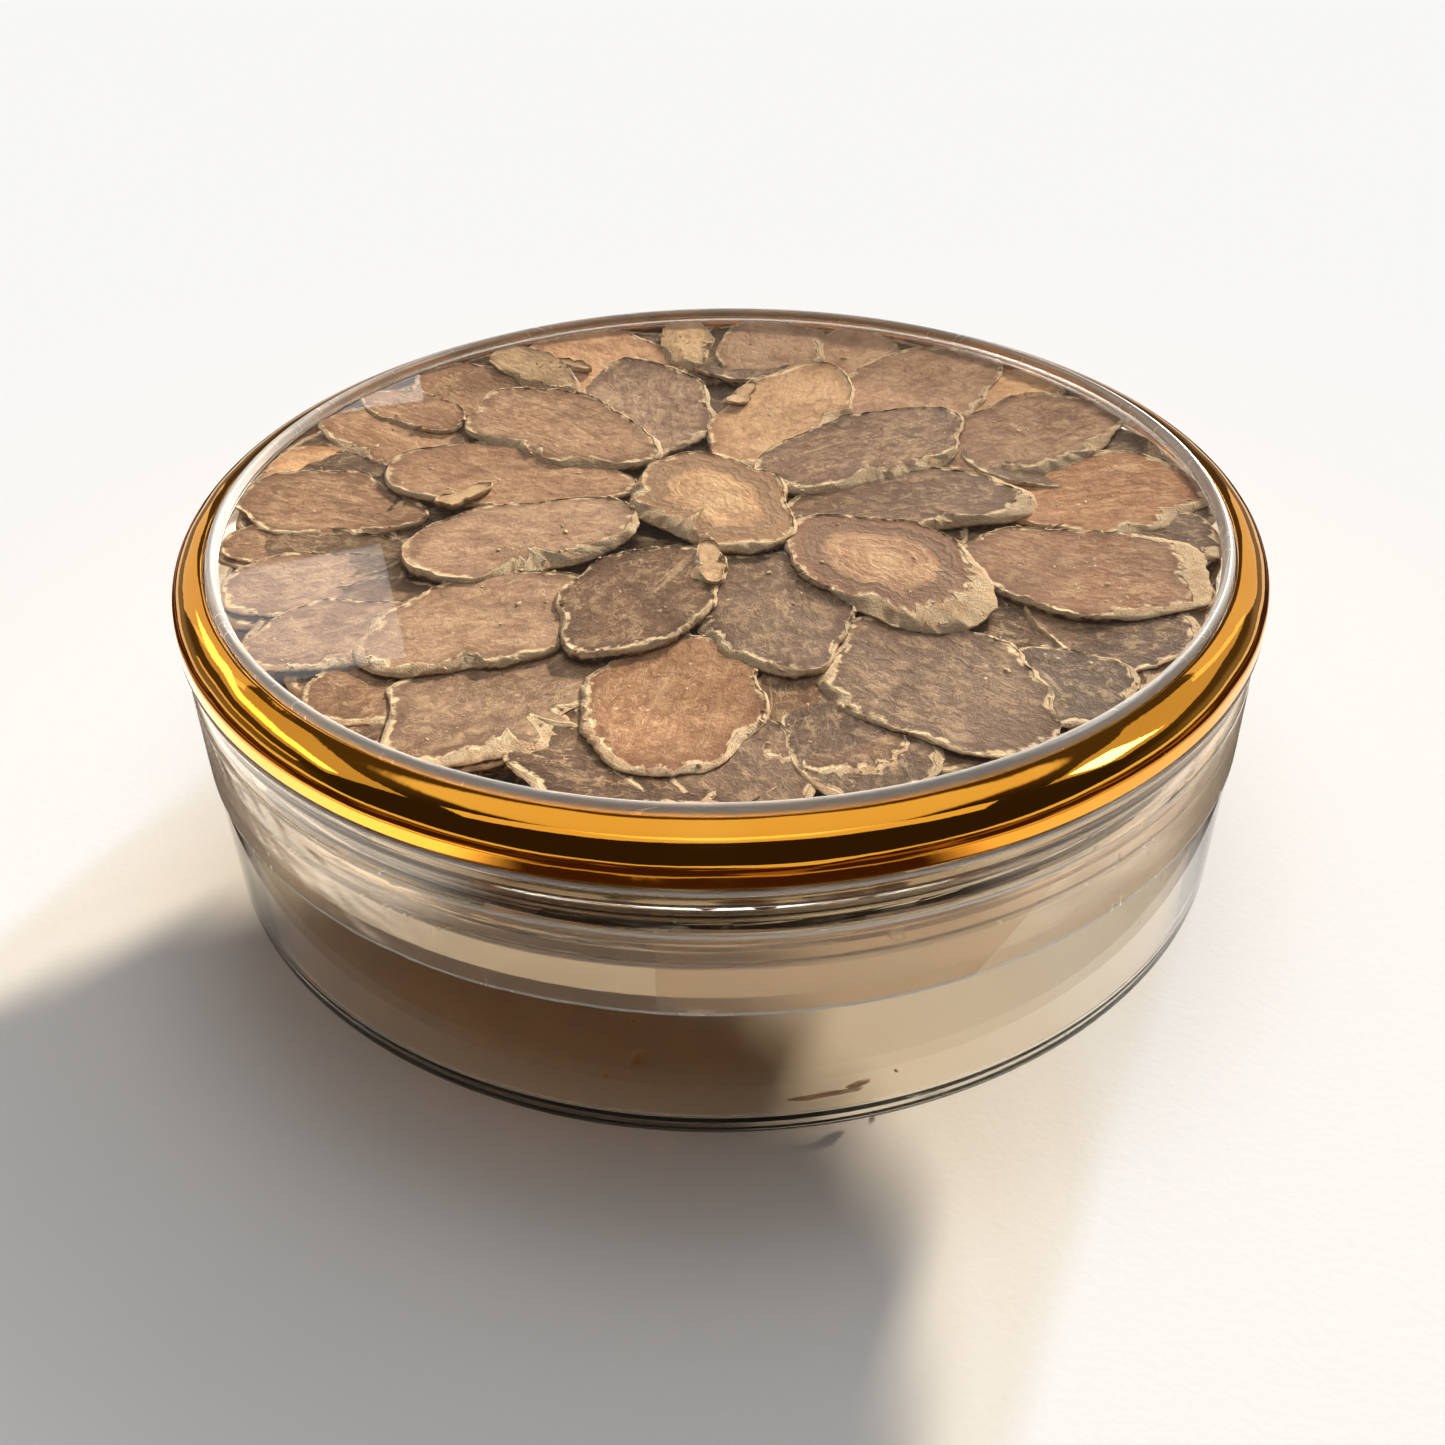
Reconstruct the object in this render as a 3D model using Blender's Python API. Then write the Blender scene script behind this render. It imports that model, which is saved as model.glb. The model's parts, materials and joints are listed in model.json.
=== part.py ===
"""Round clear gift jar: a screw lid with a gold shoulder ring over a rosette of dried root slices.

Metres, +Z up, origin at the centre of the underside. The thread is right-handed, so the lid
turns anticlockwise, seen from above, to come off.
"""

import math

import bmesh
import bpy

MM = 0.001

# ---- Driving sizes -------------------------------------------------------------------------

GAP = 0.3 * MM  # clearance between pieces that rest on or fit round each other
SEGMENTS = 64  # sides of every turned piece

# Jar
JAR_RADIUS = 74.4 * MM  # outside, at the shoulder
JAR_DRAFT = 0.5 * MM  # the foot is this much narrower
JAR_WALL = 1.8 * MM
JAR_FLOOR = 2.0 * MM
FOOT_WIDTH = 14.0 * MM  # flat ring that the jar stands on
FOOT_RECESS = 0.5 * MM  # height of the underside's middle above that ring
FOOT_ROUND = 1.2 * MM
SHOULDER_HEIGHT = 28.5 * MM
NECK_HEIGHT = 5.1 * MM
NECK_WALL = 1.8 * MM
NECK_SLOPE = 4.0 * MM  # height of the slope inside, from the wall to the neck
SLOPE_DROP = 1.5 * MM  # how far the slope ends below the shoulder's top

# Screw thread between neck and skirt
THREAD_LEAD = 3.0 * MM
THREAD_DEPTH = 1.1 * MM
THREAD_ROOM = 0.5 * MM  # from a thread's crest to the wall that it faces
THREAD_CREST = 0.4 * MM  # height of the flat crest
THREAD_FLANK = 0.35 * MM  # extra height at the root, above and below the crest
THREAD_EMBED = 0.45 * MM  # how far the root reaches into its own wall
THREAD_TURNS = 0.9
THREAD_RUN_OUT = 4  # steps over which a thread's end sinks into its wall
THREAD_TIP = 0.05  # share of the full depth left at the very end
LID_THREAD_START = 0.32  # turns between the start of the jar's thread and of the lid's

# Tray that holds the slices up in the mouth
TRAY_WALL = 0.8 * MM
TRAY_DEPTH = 3.5 * MM  # from the rim's underside to the floor's underside
TRAY_FIT = 0.4 * MM  # between the tray's wall and the neck

# Seal between the tray's rim and the lid
SEAL_HEIGHT = 0.9 * MM
SEAL_WIDTH = 2.8 * MM

# Lid
SKIRT_WALL = 1.4 * MM
LEDGE_WIDTH = 1.2 * MM  # step inside the lid that presses on the seal
WINDOW_THICKNESS = 1.2 * MM
WINDOW_ROOM = 0.3 * MM  # from the highest slice to the window
BEAD_WIDTH = 1.5 * MM
BEAD_HEIGHT = 1.2 * MM
LIP_HEIGHT = 0.7 * MM  # thin lip that the gold ring sits on

# Gold ring
RING_PROUD = 0.6 * MM  # how far the ring stands out past the skirt
RING_BREADTH = 4.7 * MM  # seen from above
RING_HEIGHT = 6.2 * MM
RING_CROWN = 4.4 * MM  # height of its rounded part
RING_SECTION = 1.2 * MM

# Clear tape round the seam
TAPE_WIDTH = 12.0 * MM
TAPE_THICKNESS = 0.2 * MM
TAPE_ABOVE_SEAM = 4.6 * MM

# Root slices
SLICE_THICKNESS = 1.0 * MM
SLICE_GAP = 0.3 * MM
BED_THICKNESS = 2.2 * MM
SLICE_POINTS = 16  # round a slice's edge
DISH_POWER = 3.3  # how late the heap climbs towards the wall
SLICE_SWELL = 1.07  # a slice's longest outline against its nominal length
THREE_LOBES = 0.04  # unevenness of a slice's edge, against its half length or width
TWO_LOBES = 0.03
FULLER_END = 0.12  # how much wider one end is than the other
WALL_CLEARANCE = 0.4 * MM  # from a slice's outer end to the wall that it faces
BED_LEVELS = 2
OUTER_LEVELS = 3
INNER_LEVELS = 2

# Each slice: angle and turn in degrees, place, length and width, and level. Lengths in these
# tables are in units of which ROSETTE_REACH span the rosette, from its middle to its wall,
# so the slices keep to the room that the jar gives them. place is the radius of its middle
# for the centre and the inner ring, and the distance left between its outer end and its
# wall for the others.
ROSETTE_REACH = 69.5
CENTRE_SLICE = dict(angle=105, place=3, length=29, width=20, turn=12, level=0)

INNER_SLICES = [
    dict(angle=9, place=28, length=35, width=16, turn=-4, level=0),
    dict(angle=41, place=30, length=35, width=19, turn=-10, level=1),
    dict(angle=72, place=35, length=37, width=19, turn=-3, level=0),
    dict(angle=107, place=38, length=34, width=20, turn=-11, level=0),
    dict(angle=131, place=37, length=34, width=19, turn=9, level=1),
    dict(angle=157, place=34, length=37, width=17, turn=9, level=0),
    dict(angle=192, place=28, length=34, width=18, turn=11, level=1),
    dict(angle=221, place=41, length=31, width=20, turn=-4, level=0),
    dict(angle=244, place=25, length=27, width=18, turn=-4, level=1),
    dict(angle=285, place=25, length=30, width=20, turn=-9, level=0),
    dict(angle=326, place=27, length=33, width=20, turn=-17, level=1),
]

OUTER_SLICES = [
    dict(angle=5, place=0, length=27, width=22, turn=-5, level=1),
    dict(angle=27, place=0, length=32, width=21, turn=0, level=2),
    dict(angle=39, place=0, length=20, width=14, turn=-6, level=1),
    dict(angle=52, place=0, length=31, width=22, turn=-6, level=2),
    dict(angle=68, place=0, length=20, width=17, turn=0, level=0),
    dict(angle=81, place=0, length=20, width=18, turn=0, level=1),
    dict(angle=95, place=0, length=17, width=8, turn=-5, level=2),
    dict(angle=111, place=0, length=29, width=25, turn=4, level=1),
    dict(angle=121, place=0, length=19, width=9, turn=14, level=2),
    dict(angle=133, place=0, length=20, width=18, turn=0, level=0),
    dict(angle=144, place=0, length=18, width=10, turn=8, level=2),
    dict(angle=152, place=0, length=24, width=16, turn=-4, level=1),
    dict(angle=166, place=0, length=19, width=15, turn=0, level=0),
    dict(angle=175, place=0, length=25, width=18, turn=2, level=1),
    dict(angle=187, place=0, length=22, width=12, turn=0, level=0),
    dict(angle=198, place=0, length=23, width=16, turn=5, level=1),
    dict(angle=212, place=0, length=22, width=15, turn=0, level=2),
    dict(angle=226, place=1, length=20, width=17, turn=0, level=0),
    dict(angle=239, place=2, length=31, width=22, turn=-8, level=1),
    dict(angle=259, place=1, length=24, width=25, turn=0, level=0),
    dict(angle=263, place=8, length=30, width=21, turn=-1, level=2),
    dict(angle=284, place=5, length=27, width=19, turn=-12, level=1),
    dict(angle=301, place=2, length=32, width=22, turn=2, level=2),
    dict(angle=312, place=0, length=18, width=17, turn=0, level=1),
    dict(angle=326, place=0, length=30, width=20, turn=4, level=0),
    dict(angle=341, place=1, length=33, width=21, turn=-6, level=2),
    dict(angle=351, place=0, length=17, width=15, turn=0, level=0),
]

BED_RING_COUNTS = (7, 7)  # slices in each bed level
BED_SLICE = dict(place=0, length=40, width=30, turn=0)
BED_MIDDLE = dict(angle=0, place=0, length=34, width=26, turn=0)

# ---- Sizes that follow ---------------------------------------------------------------------

skirt_outer = JAR_RADIUS
skirt_inner = skirt_outer - SKIRT_WALL
neck_outer = skirt_inner - THREAD_ROOM - THREAD_DEPTH
neck_inner = neck_outer - NECK_WALL
mouth_height = SHOULDER_HEIGHT + NECK_HEIGHT
seam_height = SHOULDER_HEIGHT + GAP

tray_outer = neck_inner - TRAY_FIT
tray_inner = tray_outer - TRAY_WALL
tray_rim_outer = neck_outer - GAP
tray_rim_bottom = mouth_height + GAP
tray_rim_top = tray_rim_bottom + TRAY_WALL
tray_bottom = tray_rim_bottom - TRAY_DEPTH
tray_floor = tray_bottom + TRAY_WALL

seal_bottom = tray_rim_top + GAP
seal_top = seal_bottom + SEAL_HEIGHT
ledge_height = seal_top + GAP
seal_outer = skirt_inner - GAP
seal_inner = seal_outer - SEAL_WIDTH

slice_step = SLICE_THICKNESS + SLICE_GAP
bed_step = BED_THICKNESS + SLICE_GAP
rosette_levels = OUTER_LEVELS + INNER_LEVELS + 1
slice_floor = tray_floor + GAP
stack_top = slice_floor + BED_LEVELS * bed_step + rosette_levels * slice_step - SLICE_GAP
slice_limit = tray_inner - WALL_CLEARANCE  # for the bed, inside the tray
rosette_limit = seal_inner - WALL_CLEARANCE  # for the rosette, above the tray's rim
slice_unit = rosette_limit / ROSETTE_REACH


def dish(radius):
    """Underside of the outer ring's lowest level: a shallow dish that climbs to the wall."""
    climbed = (INNER_LEVELS + 1) * min(radius / slice_limit, 1.0) ** DISH_POWER
    levels_above = rosette_levels - 1 - climbed
    return stack_top - SLICE_THICKNESS - levels_above * slice_step


def level_surface(level):
    """Height of the underside of a rosette level, as a function of the radius."""
    return lambda radius: dish(radius) + level * slice_step


def bed_surface(level):
    """The bed's levels spread evenly between the tray's floor and the rosette."""
    share = level / BED_LEVELS
    return lambda radius: slice_floor + (dish(radius) - slice_floor) * share


def inner_peak(spec):
    """Highest point of an inner slice, at its outer end."""
    reach = (spec["place"] + spec["length"] / 2 * SLICE_SWELL) * slice_unit
    return level_surface(OUTER_LEVELS + spec["level"])(reach) + SLICE_THICKNESS


heap_top = max([stack_top] + [inner_peak(spec) for spec in INNER_SLICES])

window_bottom = heap_top + WINDOW_ROOM
window_top = window_bottom + WINDOW_THICKNESS
ring_top = window_top + GAP
ring_bottom = ring_top - RING_HEIGHT
ring_outer = skirt_outer + RING_PROUD
ring_crown_radius = ring_outer - RING_BREADTH
ring_crown_height = ring_top - RING_CROWN
bead_outer = ring_crown_radius - GAP
bead_inner = bead_outer - BEAD_WIDTH
bead_top = window_top + BEAD_HEIGHT
lip_top = ring_bottom - GAP
lip_bottom = lip_top - LIP_HEIGHT
upper_inner = skirt_inner - LEDGE_WIDTH


# ---- Helpers -------------------------------------------------------------------------------


def clear_scene():
    for obj in list(bpy.data.objects):
        bpy.data.objects.remove(obj, do_unlink=True)


def material(name, color, roughness, metallic=0.0, transmission=0.0):
    mat = bpy.data.materials.new(name)
    mat.use_nodes = True
    shader = mat.node_tree.nodes["Principled BSDF"]
    shader.inputs["Base Color"].default_value = (*color, 1.0)
    shader.inputs["Roughness"].default_value = roughness
    shader.inputs["Metallic"].default_value = metallic
    shader.inputs["Transmission Weight"].default_value = transmission
    return mat


def add_object(name, bm, mat=None):
    """Turns the bmesh into a named object, smooth apart from its sharp edges."""
    bmesh.ops.recalc_face_normals(bm, faces=bm.faces)
    mesh = bpy.data.meshes.new(name)
    bm.to_mesh(mesh)
    bm.free()
    mesh.shade_smooth()
    mesh.set_sharp_from_angle(angle=math.radians(30))
    obj = bpy.data.objects.new(name, mesh)
    bpy.context.scene.collection.objects.link(obj)
    if mat is not None:
        mesh.materials.append(mat)
    return obj


def quarter(center_r, center_z, semi_r, semi_z, start, stop, steps):
    """Points along part of an ellipse in the profile plane, angles in degrees from +R."""
    points = []
    for i in range(steps + 1):
        angle = math.radians(start + (stop - start) * i / steps)
        points.append((center_r + semi_r * math.cos(angle), center_z + semi_z * math.sin(angle)))
    return points


def turned(name, profile, mat):
    """Spins a closed profile of (radius, height) points round the Z axis."""
    bm = bmesh.new()
    verts = [bm.verts.new((r, 0.0, z)) for r, z in profile]
    edges = [bm.edges.new((a, b)) for a, b in zip(verts, verts[1:] + verts[:1])]
    # An edge on the axis would only spin into a line.
    on_axis = [e for e in edges if all(abs(v.co.x) < 1e-9 for v in e.verts)]
    bmesh.ops.delete(bm, geom=on_axis, context="EDGES_FACES")
    bmesh.ops.spin(
        bm,
        geom=bm.verts[:] + bm.edges[:],
        cent=(0, 0, 0),
        axis=(0, 0, 1),
        angle=2 * math.pi,
        steps=SEGMENTS,
        use_merge=True,
    )
    bmesh.ops.remove_doubles(bm, verts=bm.verts, dist=1e-6)
    return add_object(name, bm, mat)


def helix_ridge(name, root, crest, start_height, first_turn):
    """Closed ridge that climbs THREAD_LEAD a turn; its ends sink into the root radius."""
    bm = bmesh.new()
    steps = round(THREAD_TURNS * SEGMENTS)
    half_crest = THREAD_CREST / 2
    half_root = half_crest + THREAD_FLANK
    rings = []
    for i in range(steps + 1):
        turn = first_turn + i / SEGMENTS
        angle = 2 * math.pi * turn
        middle = start_height + THREAD_LEAD * turn
        rise = min(1.0, i / THREAD_RUN_OUT, (steps - i) / THREAD_RUN_OUT)
        top = root + (crest - root) * max(rise, THREAD_TIP)
        corners = [
            (root, middle - half_root),
            (top, middle - half_crest),
            (top, middle + half_crest),
            (root, middle + half_root),
        ]
        ring = [bm.verts.new((r * math.cos(angle), r * math.sin(angle), z)) for r, z in corners]
        rings.append(ring)
    for near, far in zip(rings, rings[1:]):
        for j in range(4):
            k = (j + 1) % 4
            bm.faces.new((near[j], near[k], far[k], far[j]))
    bm.faces.new(rings[0])
    bm.faces.new(rings[-1])
    ridge = add_object(name, bm)
    ridge.hide_render = True
    ridge.display_type = "WIRE"
    return ridge


def unite(obj, other):
    joint = obj.modifiers.new("thread", "BOOLEAN")
    joint.operation = "UNION"
    joint.solver = "EXACT"
    joint.object = other


# ---- Jar, tray, seal and tape --------------------------------------------------------------


def make_jar(mat):
    foot_outer = JAR_RADIUS - JAR_DRAFT
    recess_radius = foot_outer - FOOT_ROUND - FOOT_WIDTH
    floor_top = FOOT_RECESS + JAR_FLOOR
    wall_inner = JAR_RADIUS - JAR_WALL
    slope_top = SHOULDER_HEIGHT - SLOPE_DROP
    slope_bottom = slope_top - NECK_SLOPE
    corner = foot_outer - FOOT_ROUND
    profile = [(0.0, FOOT_RECESS), (recess_radius - FOOT_RECESS, FOOT_RECESS), (recess_radius, 0.0)]
    profile += quarter(corner, FOOT_ROUND, FOOT_ROUND, FOOT_ROUND, -90, 0, 3)
    profile += [
        (JAR_RADIUS, SHOULDER_HEIGHT),
        (neck_outer, SHOULDER_HEIGHT),
        (neck_outer, mouth_height),
        (neck_inner, mouth_height),
        (neck_inner, slope_top),
        (wall_inner, slope_bottom),
    ]
    inner_foot = foot_outer - JAR_WALL
    inner_corner = (inner_foot - FOOT_ROUND, floor_top + FOOT_ROUND)
    profile += quarter(*inner_corner, FOOT_ROUND, FOOT_ROUND, 0, -90, 2)
    profile += [(0.0, floor_top)]
    jar = turned("jar_body", profile, mat)
    ridge = helix_ridge(
        "jar_thread_form",
        root=neck_outer - THREAD_EMBED,
        crest=neck_outer + THREAD_DEPTH,
        start_height=SHOULDER_HEIGHT + THREAD_LEAD / 2,
        first_turn=0.0,
    )
    unite(jar, ridge)
    return jar


def make_tray(mat):
    profile = [
        (0.0, tray_bottom),
        (tray_outer - TRAY_WALL, tray_bottom),
        (tray_outer, tray_bottom + TRAY_WALL),
        (tray_outer, tray_rim_bottom),
        (tray_rim_outer, tray_rim_bottom),
        (tray_rim_outer, tray_rim_top),
        (tray_inner, tray_rim_top),
        (tray_inner, tray_floor),
        (0.0, tray_floor),
    ]
    return turned("slice_tray", profile, mat)


def make_seal(mat):
    profile = [
        (seal_inner, seal_bottom),
        (seal_outer, seal_bottom),
        (seal_outer, seal_top),
        (seal_inner, seal_top),
    ]
    return turned("mouth_seal", profile, mat)


def make_tape(mat):
    inner = JAR_RADIUS + GAP
    outer = inner + TAPE_THICKNESS
    top = seam_height + TAPE_ABOVE_SEAM
    bottom = top - TAPE_WIDTH
    profile = [(inner, bottom), (outer, bottom), (outer, top), (inner, top)]
    return turned("seal_tape", profile, mat)


# ---- Lid and ring --------------------------------------------------------------------------


def make_lid(mat):
    crown = (ring_crown_radius, ring_crown_height)
    outer_semi_r = RING_BREADTH - RING_SECTION - GAP
    outer_semi_z = RING_CROWN - RING_SECTION - GAP
    inner_semi_r = upper_inner - ring_crown_radius
    inner_semi_z = outer_semi_z - WINDOW_THICKNESS
    bead_mid = (bead_inner + bead_outer) / 2
    profile = [(0.0, window_bottom), (bead_inner, window_bottom)]
    profile += quarter(*crown, inner_semi_r, inner_semi_z, 90, 0, 3)
    profile += [
        (upper_inner, ledge_height),
        (skirt_inner, ledge_height),
        (skirt_inner, seam_height),
        (skirt_outer, seam_height),
        (skirt_outer, lip_bottom),
        (ring_outer, lip_bottom),
        (ring_outer, lip_top),
        (ring_crown_radius + outer_semi_r, lip_top),
    ]
    profile += quarter(*crown, outer_semi_r, outer_semi_z, 0, 90, 4)
    profile += [(bead_outer, crown[1] + outer_semi_z)]
    profile += quarter(bead_mid, window_top, BEAD_WIDTH / 2, BEAD_HEIGHT, 0, 180, 6)
    profile += [(0.0, window_top)]
    lid = turned("lid_shell", profile, mat)
    # Half a lead below the jar's thread all the way round.
    ridge = helix_ridge(
        "lid_thread_form",
        root=skirt_inner + THREAD_EMBED,
        crest=skirt_inner - THREAD_DEPTH,
        start_height=SHOULDER_HEIGHT,
        first_turn=LID_THREAD_START,
    )
    unite(lid, ridge)
    return lid


def make_ring(mat):
    crown = (ring_crown_radius, ring_crown_height)
    inner_semi_r = RING_BREADTH - RING_SECTION
    inner_semi_z = RING_CROWN - RING_SECTION
    profile = [(ring_outer, ring_bottom)]
    profile += quarter(*crown, RING_BREADTH, RING_CROWN, 0, 90, 6)
    profile += quarter(*crown, inner_semi_r, inner_semi_z, 90, 0, 4)
    profile += [(ring_crown_radius + inner_semi_r, ring_bottom)]
    return turned("gold_ring", profile, mat)


# ---- Root slices ---------------------------------------------------------------------------


def slice_outline(length, width, seed):
    """Egg-shaped edge: the root was cut on the slant, so one end is a little fuller."""
    points = []
    for i in range(SLICE_POINTS):
        t = 2 * math.pi * i / SLICE_POINTS
        # A different whole seed turns the lobes to a different place.
        swell = 1 + THREE_LOBES * math.sin(3 * t + seed) + TWO_LOBES * math.sin(2 * t + 2 * seed)
        fuller = 1 + FULLER_END * math.cos(t) * math.cos(seed)
        x = length / 2 * math.cos(t) * (2 - swell)
        y = width / 2 * math.sin(t) * swell * fuller
        points.append((x, y))
    return points


def make_slice(name, spec, middle_radius, thickness, surface, seed, mat):
    """Cuts a thin slice and drapes it on the given surface of revolution."""
    angle = math.radians(spec["angle"])
    turn = math.radians(spec["turn"])
    cos_t, sin_t = math.cos(turn), math.sin(turn)
    base = surface(middle_radius)
    outline = slice_outline(spec["length"] * slice_unit, spec["width"] * slice_unit, seed)
    bm = bmesh.new()

    def corner(x, y, lift):
        out = middle_radius + x * cos_t - y * sin_t
        across = x * sin_t + y * cos_t
        height = surface(math.hypot(out, across)) - base + lift
        return bm.verts.new((out - middle_radius, across, height))

    low = [corner(x, y, 0.0) for x, y in outline]
    high = [corner(x, y, thickness) for x, y in outline]
    low_middle = corner(0.0, 0.0, 0.0)
    high_middle = corner(0.0, 0.0, thickness)
    for i in range(SLICE_POINTS):
        j = (i + 1) % SLICE_POINTS
        bm.faces.new((low_middle, low[j], low[i]))
        bm.faces.new((high_middle, high[i], high[j]))
        bm.faces.new((low[i], low[j], high[j], high[i]))
    obj = add_object(name, bm, mat)
    obj.location = (middle_radius * math.cos(angle), middle_radius * math.sin(angle), base)
    obj.rotation_euler = (0.0, 0.0, angle)
    return obj


def outer_middle(spec, limit):
    """Radius of the middle of a slice whose outer end lies near the wall at the limit."""
    return limit - (spec["place"] + spec["length"] / 2 * SLICE_SWELL) * slice_unit


def make_slices(flesh, pale):
    middle = level_surface(OUTER_LEVELS + INNER_LEVELS)
    plans = [("slice_centre", CENTRE_SLICE, CENTRE_SLICE["place"] * slice_unit, middle)]
    for number, spec in enumerate(INNER_SLICES, 1):
        surface = level_surface(OUTER_LEVELS + spec["level"])
        plans.append((f"slice_inner_{number:02d}", spec, spec["place"] * slice_unit, surface))
    for number, spec in enumerate(OUTER_SLICES, 1):
        radius = outer_middle(spec, rosette_limit)
        plans.append((f"slice_outer_{number:02d}", spec, radius, level_surface(spec["level"])))
    bed = [("slice_bed_01", BED_MIDDLE, 0.0, bed_surface(0))]
    for level, count in enumerate(BED_RING_COUNTS):
        for i in range(count):
            spec = dict(BED_SLICE, angle=360 * (i + level / 2) / count)
            name = f"slice_bed_{len(bed) + 1:02d}"
            bed.append((name, spec, outer_middle(spec, slice_limit), bed_surface(level)))
    made = []
    for name, spec, radius, surface in plans + bed:
        thickness = BED_THICKNESS if name.startswith("slice_bed") else SLICE_THICKNESS
        mat = pale if name == "slice_centre" else flesh
        made.append(make_slice(name, spec, radius, thickness, surface, len(made), mat))
    return made


# ---- Assembly ------------------------------------------------------------------------------


def axis_empty(name, height):
    empty = bpy.data.objects.new(name, None)
    empty.location = (0.0, 0.0, height)
    bpy.context.scene.collection.objects.link(empty)
    return empty


def hang_on(empty, objects):
    """Parents the objects to the empty and leaves them where they are."""
    for obj in objects:
        obj.parent = empty
        obj.location.z -= empty.location.z


def main():
    clear_scene()
    clear_plastic = material("clear plastic", (0.93, 0.93, 0.91), 0.05, transmission=1.0)
    gold = material("gold plating", (0.83, 0.52, 0.10), 0.12, metallic=1.0)
    rubber = material("clear seal", (0.85, 0.85, 0.82), 0.35, transmission=0.8)
    film = material("clear tape", (0.92, 0.90, 0.84), 0.25, transmission=0.9)
    flesh = material("root flesh", (0.22, 0.12, 0.06), 0.55)
    pale = material("pale root", (0.48, 0.31, 0.16), 0.60)

    jar_parts = [make_jar(clear_plastic), make_tray(clear_plastic), make_tape(film)]
    jar_parts += make_slices(flesh, pale)
    seal = make_seal(rubber)
    lid_parts = [make_lid(clear_plastic), make_ring(gold)]

    hang_on(axis_empty("jar_axis", 0.0), jar_parts)
    hang_on(axis_empty("rise_axis", mouth_height), [seal])
    hang_on(axis_empty("lid_axis", seam_height), lid_parts)


main()
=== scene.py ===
import json
import math
import random

import bmesh
import bpy
import numpy as np
from mathutils import Euler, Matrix, Quaternion, Vector, noise

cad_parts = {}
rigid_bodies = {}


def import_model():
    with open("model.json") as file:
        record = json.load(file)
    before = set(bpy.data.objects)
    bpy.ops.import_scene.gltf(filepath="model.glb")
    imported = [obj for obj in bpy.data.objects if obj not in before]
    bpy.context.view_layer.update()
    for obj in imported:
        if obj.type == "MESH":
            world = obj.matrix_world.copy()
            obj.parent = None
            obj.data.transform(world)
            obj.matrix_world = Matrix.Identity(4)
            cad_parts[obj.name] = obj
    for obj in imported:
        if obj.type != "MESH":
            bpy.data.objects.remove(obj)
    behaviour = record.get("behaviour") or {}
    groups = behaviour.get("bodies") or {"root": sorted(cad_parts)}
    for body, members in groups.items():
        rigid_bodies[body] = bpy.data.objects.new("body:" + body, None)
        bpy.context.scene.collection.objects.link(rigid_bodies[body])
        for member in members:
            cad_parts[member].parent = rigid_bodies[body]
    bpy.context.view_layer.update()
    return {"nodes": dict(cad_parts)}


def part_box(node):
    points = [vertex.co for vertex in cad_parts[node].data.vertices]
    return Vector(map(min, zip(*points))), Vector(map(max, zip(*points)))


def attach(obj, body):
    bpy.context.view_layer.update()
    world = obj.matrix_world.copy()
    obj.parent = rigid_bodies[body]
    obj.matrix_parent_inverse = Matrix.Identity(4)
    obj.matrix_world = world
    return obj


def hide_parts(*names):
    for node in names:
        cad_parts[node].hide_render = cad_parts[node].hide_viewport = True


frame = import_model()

scene = bpy.context.scene
mm = 0.001


def inMm(**sizes):
    return {name: size * mm for name, size in sizes.items()}


print("frame loaded:", len(frame["nodes"]), "nodes")


def feed(tree, sockets, values):
    # Links the values that are sockets, and sets the others.
    for key, value in values.items():
        if isinstance(value, bpy.types.NodeSocket):
            tree.links.new(value, sockets[key])
        else:
            sockets[key].default_value = value


def addNode(tree, kind, inputs=None, **settings):
    node = tree.nodes.new("ShaderNode" + kind)
    for key, value in settings.items():
        setattr(node, key, value)
    feed(tree, node.inputs, inputs or {})
    return node


def calc(tree, operation, first, second=0.0, third=0.0):
    return addNode(tree, "Math", {0: first, 1: second, 2: third}, operation=operation).outputs[0]


def times(tree, first, second):
    return calc(tree, "MULTIPLY", first, second)


def spread(tree, value, low, high, outLow=0.0, outHigh=1.0, smooth=True):
    # Maps low..high onto outLow..outHigh, held at both ends.
    kind = "SMOOTHSTEP" if smooth else "LINEAR"
    inputs = {"Value": value, "From Min": low, "From Max": high, "To Min": outLow, "To Max": outHigh}
    return addNode(tree, "MapRange", inputs, interpolation_type=kind).outputs["Result"]


def mixColor(tree, factor, first, second, blend="MIX"):
    inputs = {0: factor, 6: first, 7: second}
    return addNode(tree, "Mix", inputs, data_type="RGBA", blend_type=blend).outputs[2]


def stretched(tree, place, scale, turn=0):
    inputs = {"Vector": place, "Rotation": (0, 0, math.radians(turn)), "Scale": scale}
    return addNode(tree, "Mapping", inputs).outputs[0]


def cloudAt(tree, place, scale, detail, **more):
    inputs = {"Vector": place, "Scale": scale, "Detail": detail, **more}
    return addNode(tree, "TexNoise", inputs).outputs["Fac"]


def objectPlace(tree):
    return addNode(tree, "TexCoord").outputs["Object"]


def lengthOf(tree, place):
    return addNode(tree, "VectorMath", {0: place}, operation="LENGTH").outputs["Value"]


def emptyTree(owner):
    owner.use_nodes = True
    owner.node_tree.nodes.clear()
    return owner.node_tree


def newMaterial(name):
    material = bpy.data.materials.new(name)
    tree = emptyTree(material)
    shader = addNode(tree, "BsdfPrincipled")
    output = addNode(tree, "OutputMaterial")
    tree.links.new(shader.outputs[0], output.inputs["Surface"])
    return material, tree, shader, output


def mixSurface(tree, output, share, first, second):
    mixed = addNode(tree, "MixShader", {0: share, 1: first.outputs[0], 2: second.outputs[0]})
    tree.links.new(mixed.outputs[0], output.inputs["Surface"])


def bumped(tree, height, strength, distance):
    inputs = {"Height": height, "Strength": strength, "Distance": distance}
    return addNode(tree, "Bump", inputs).outputs[0]


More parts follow.
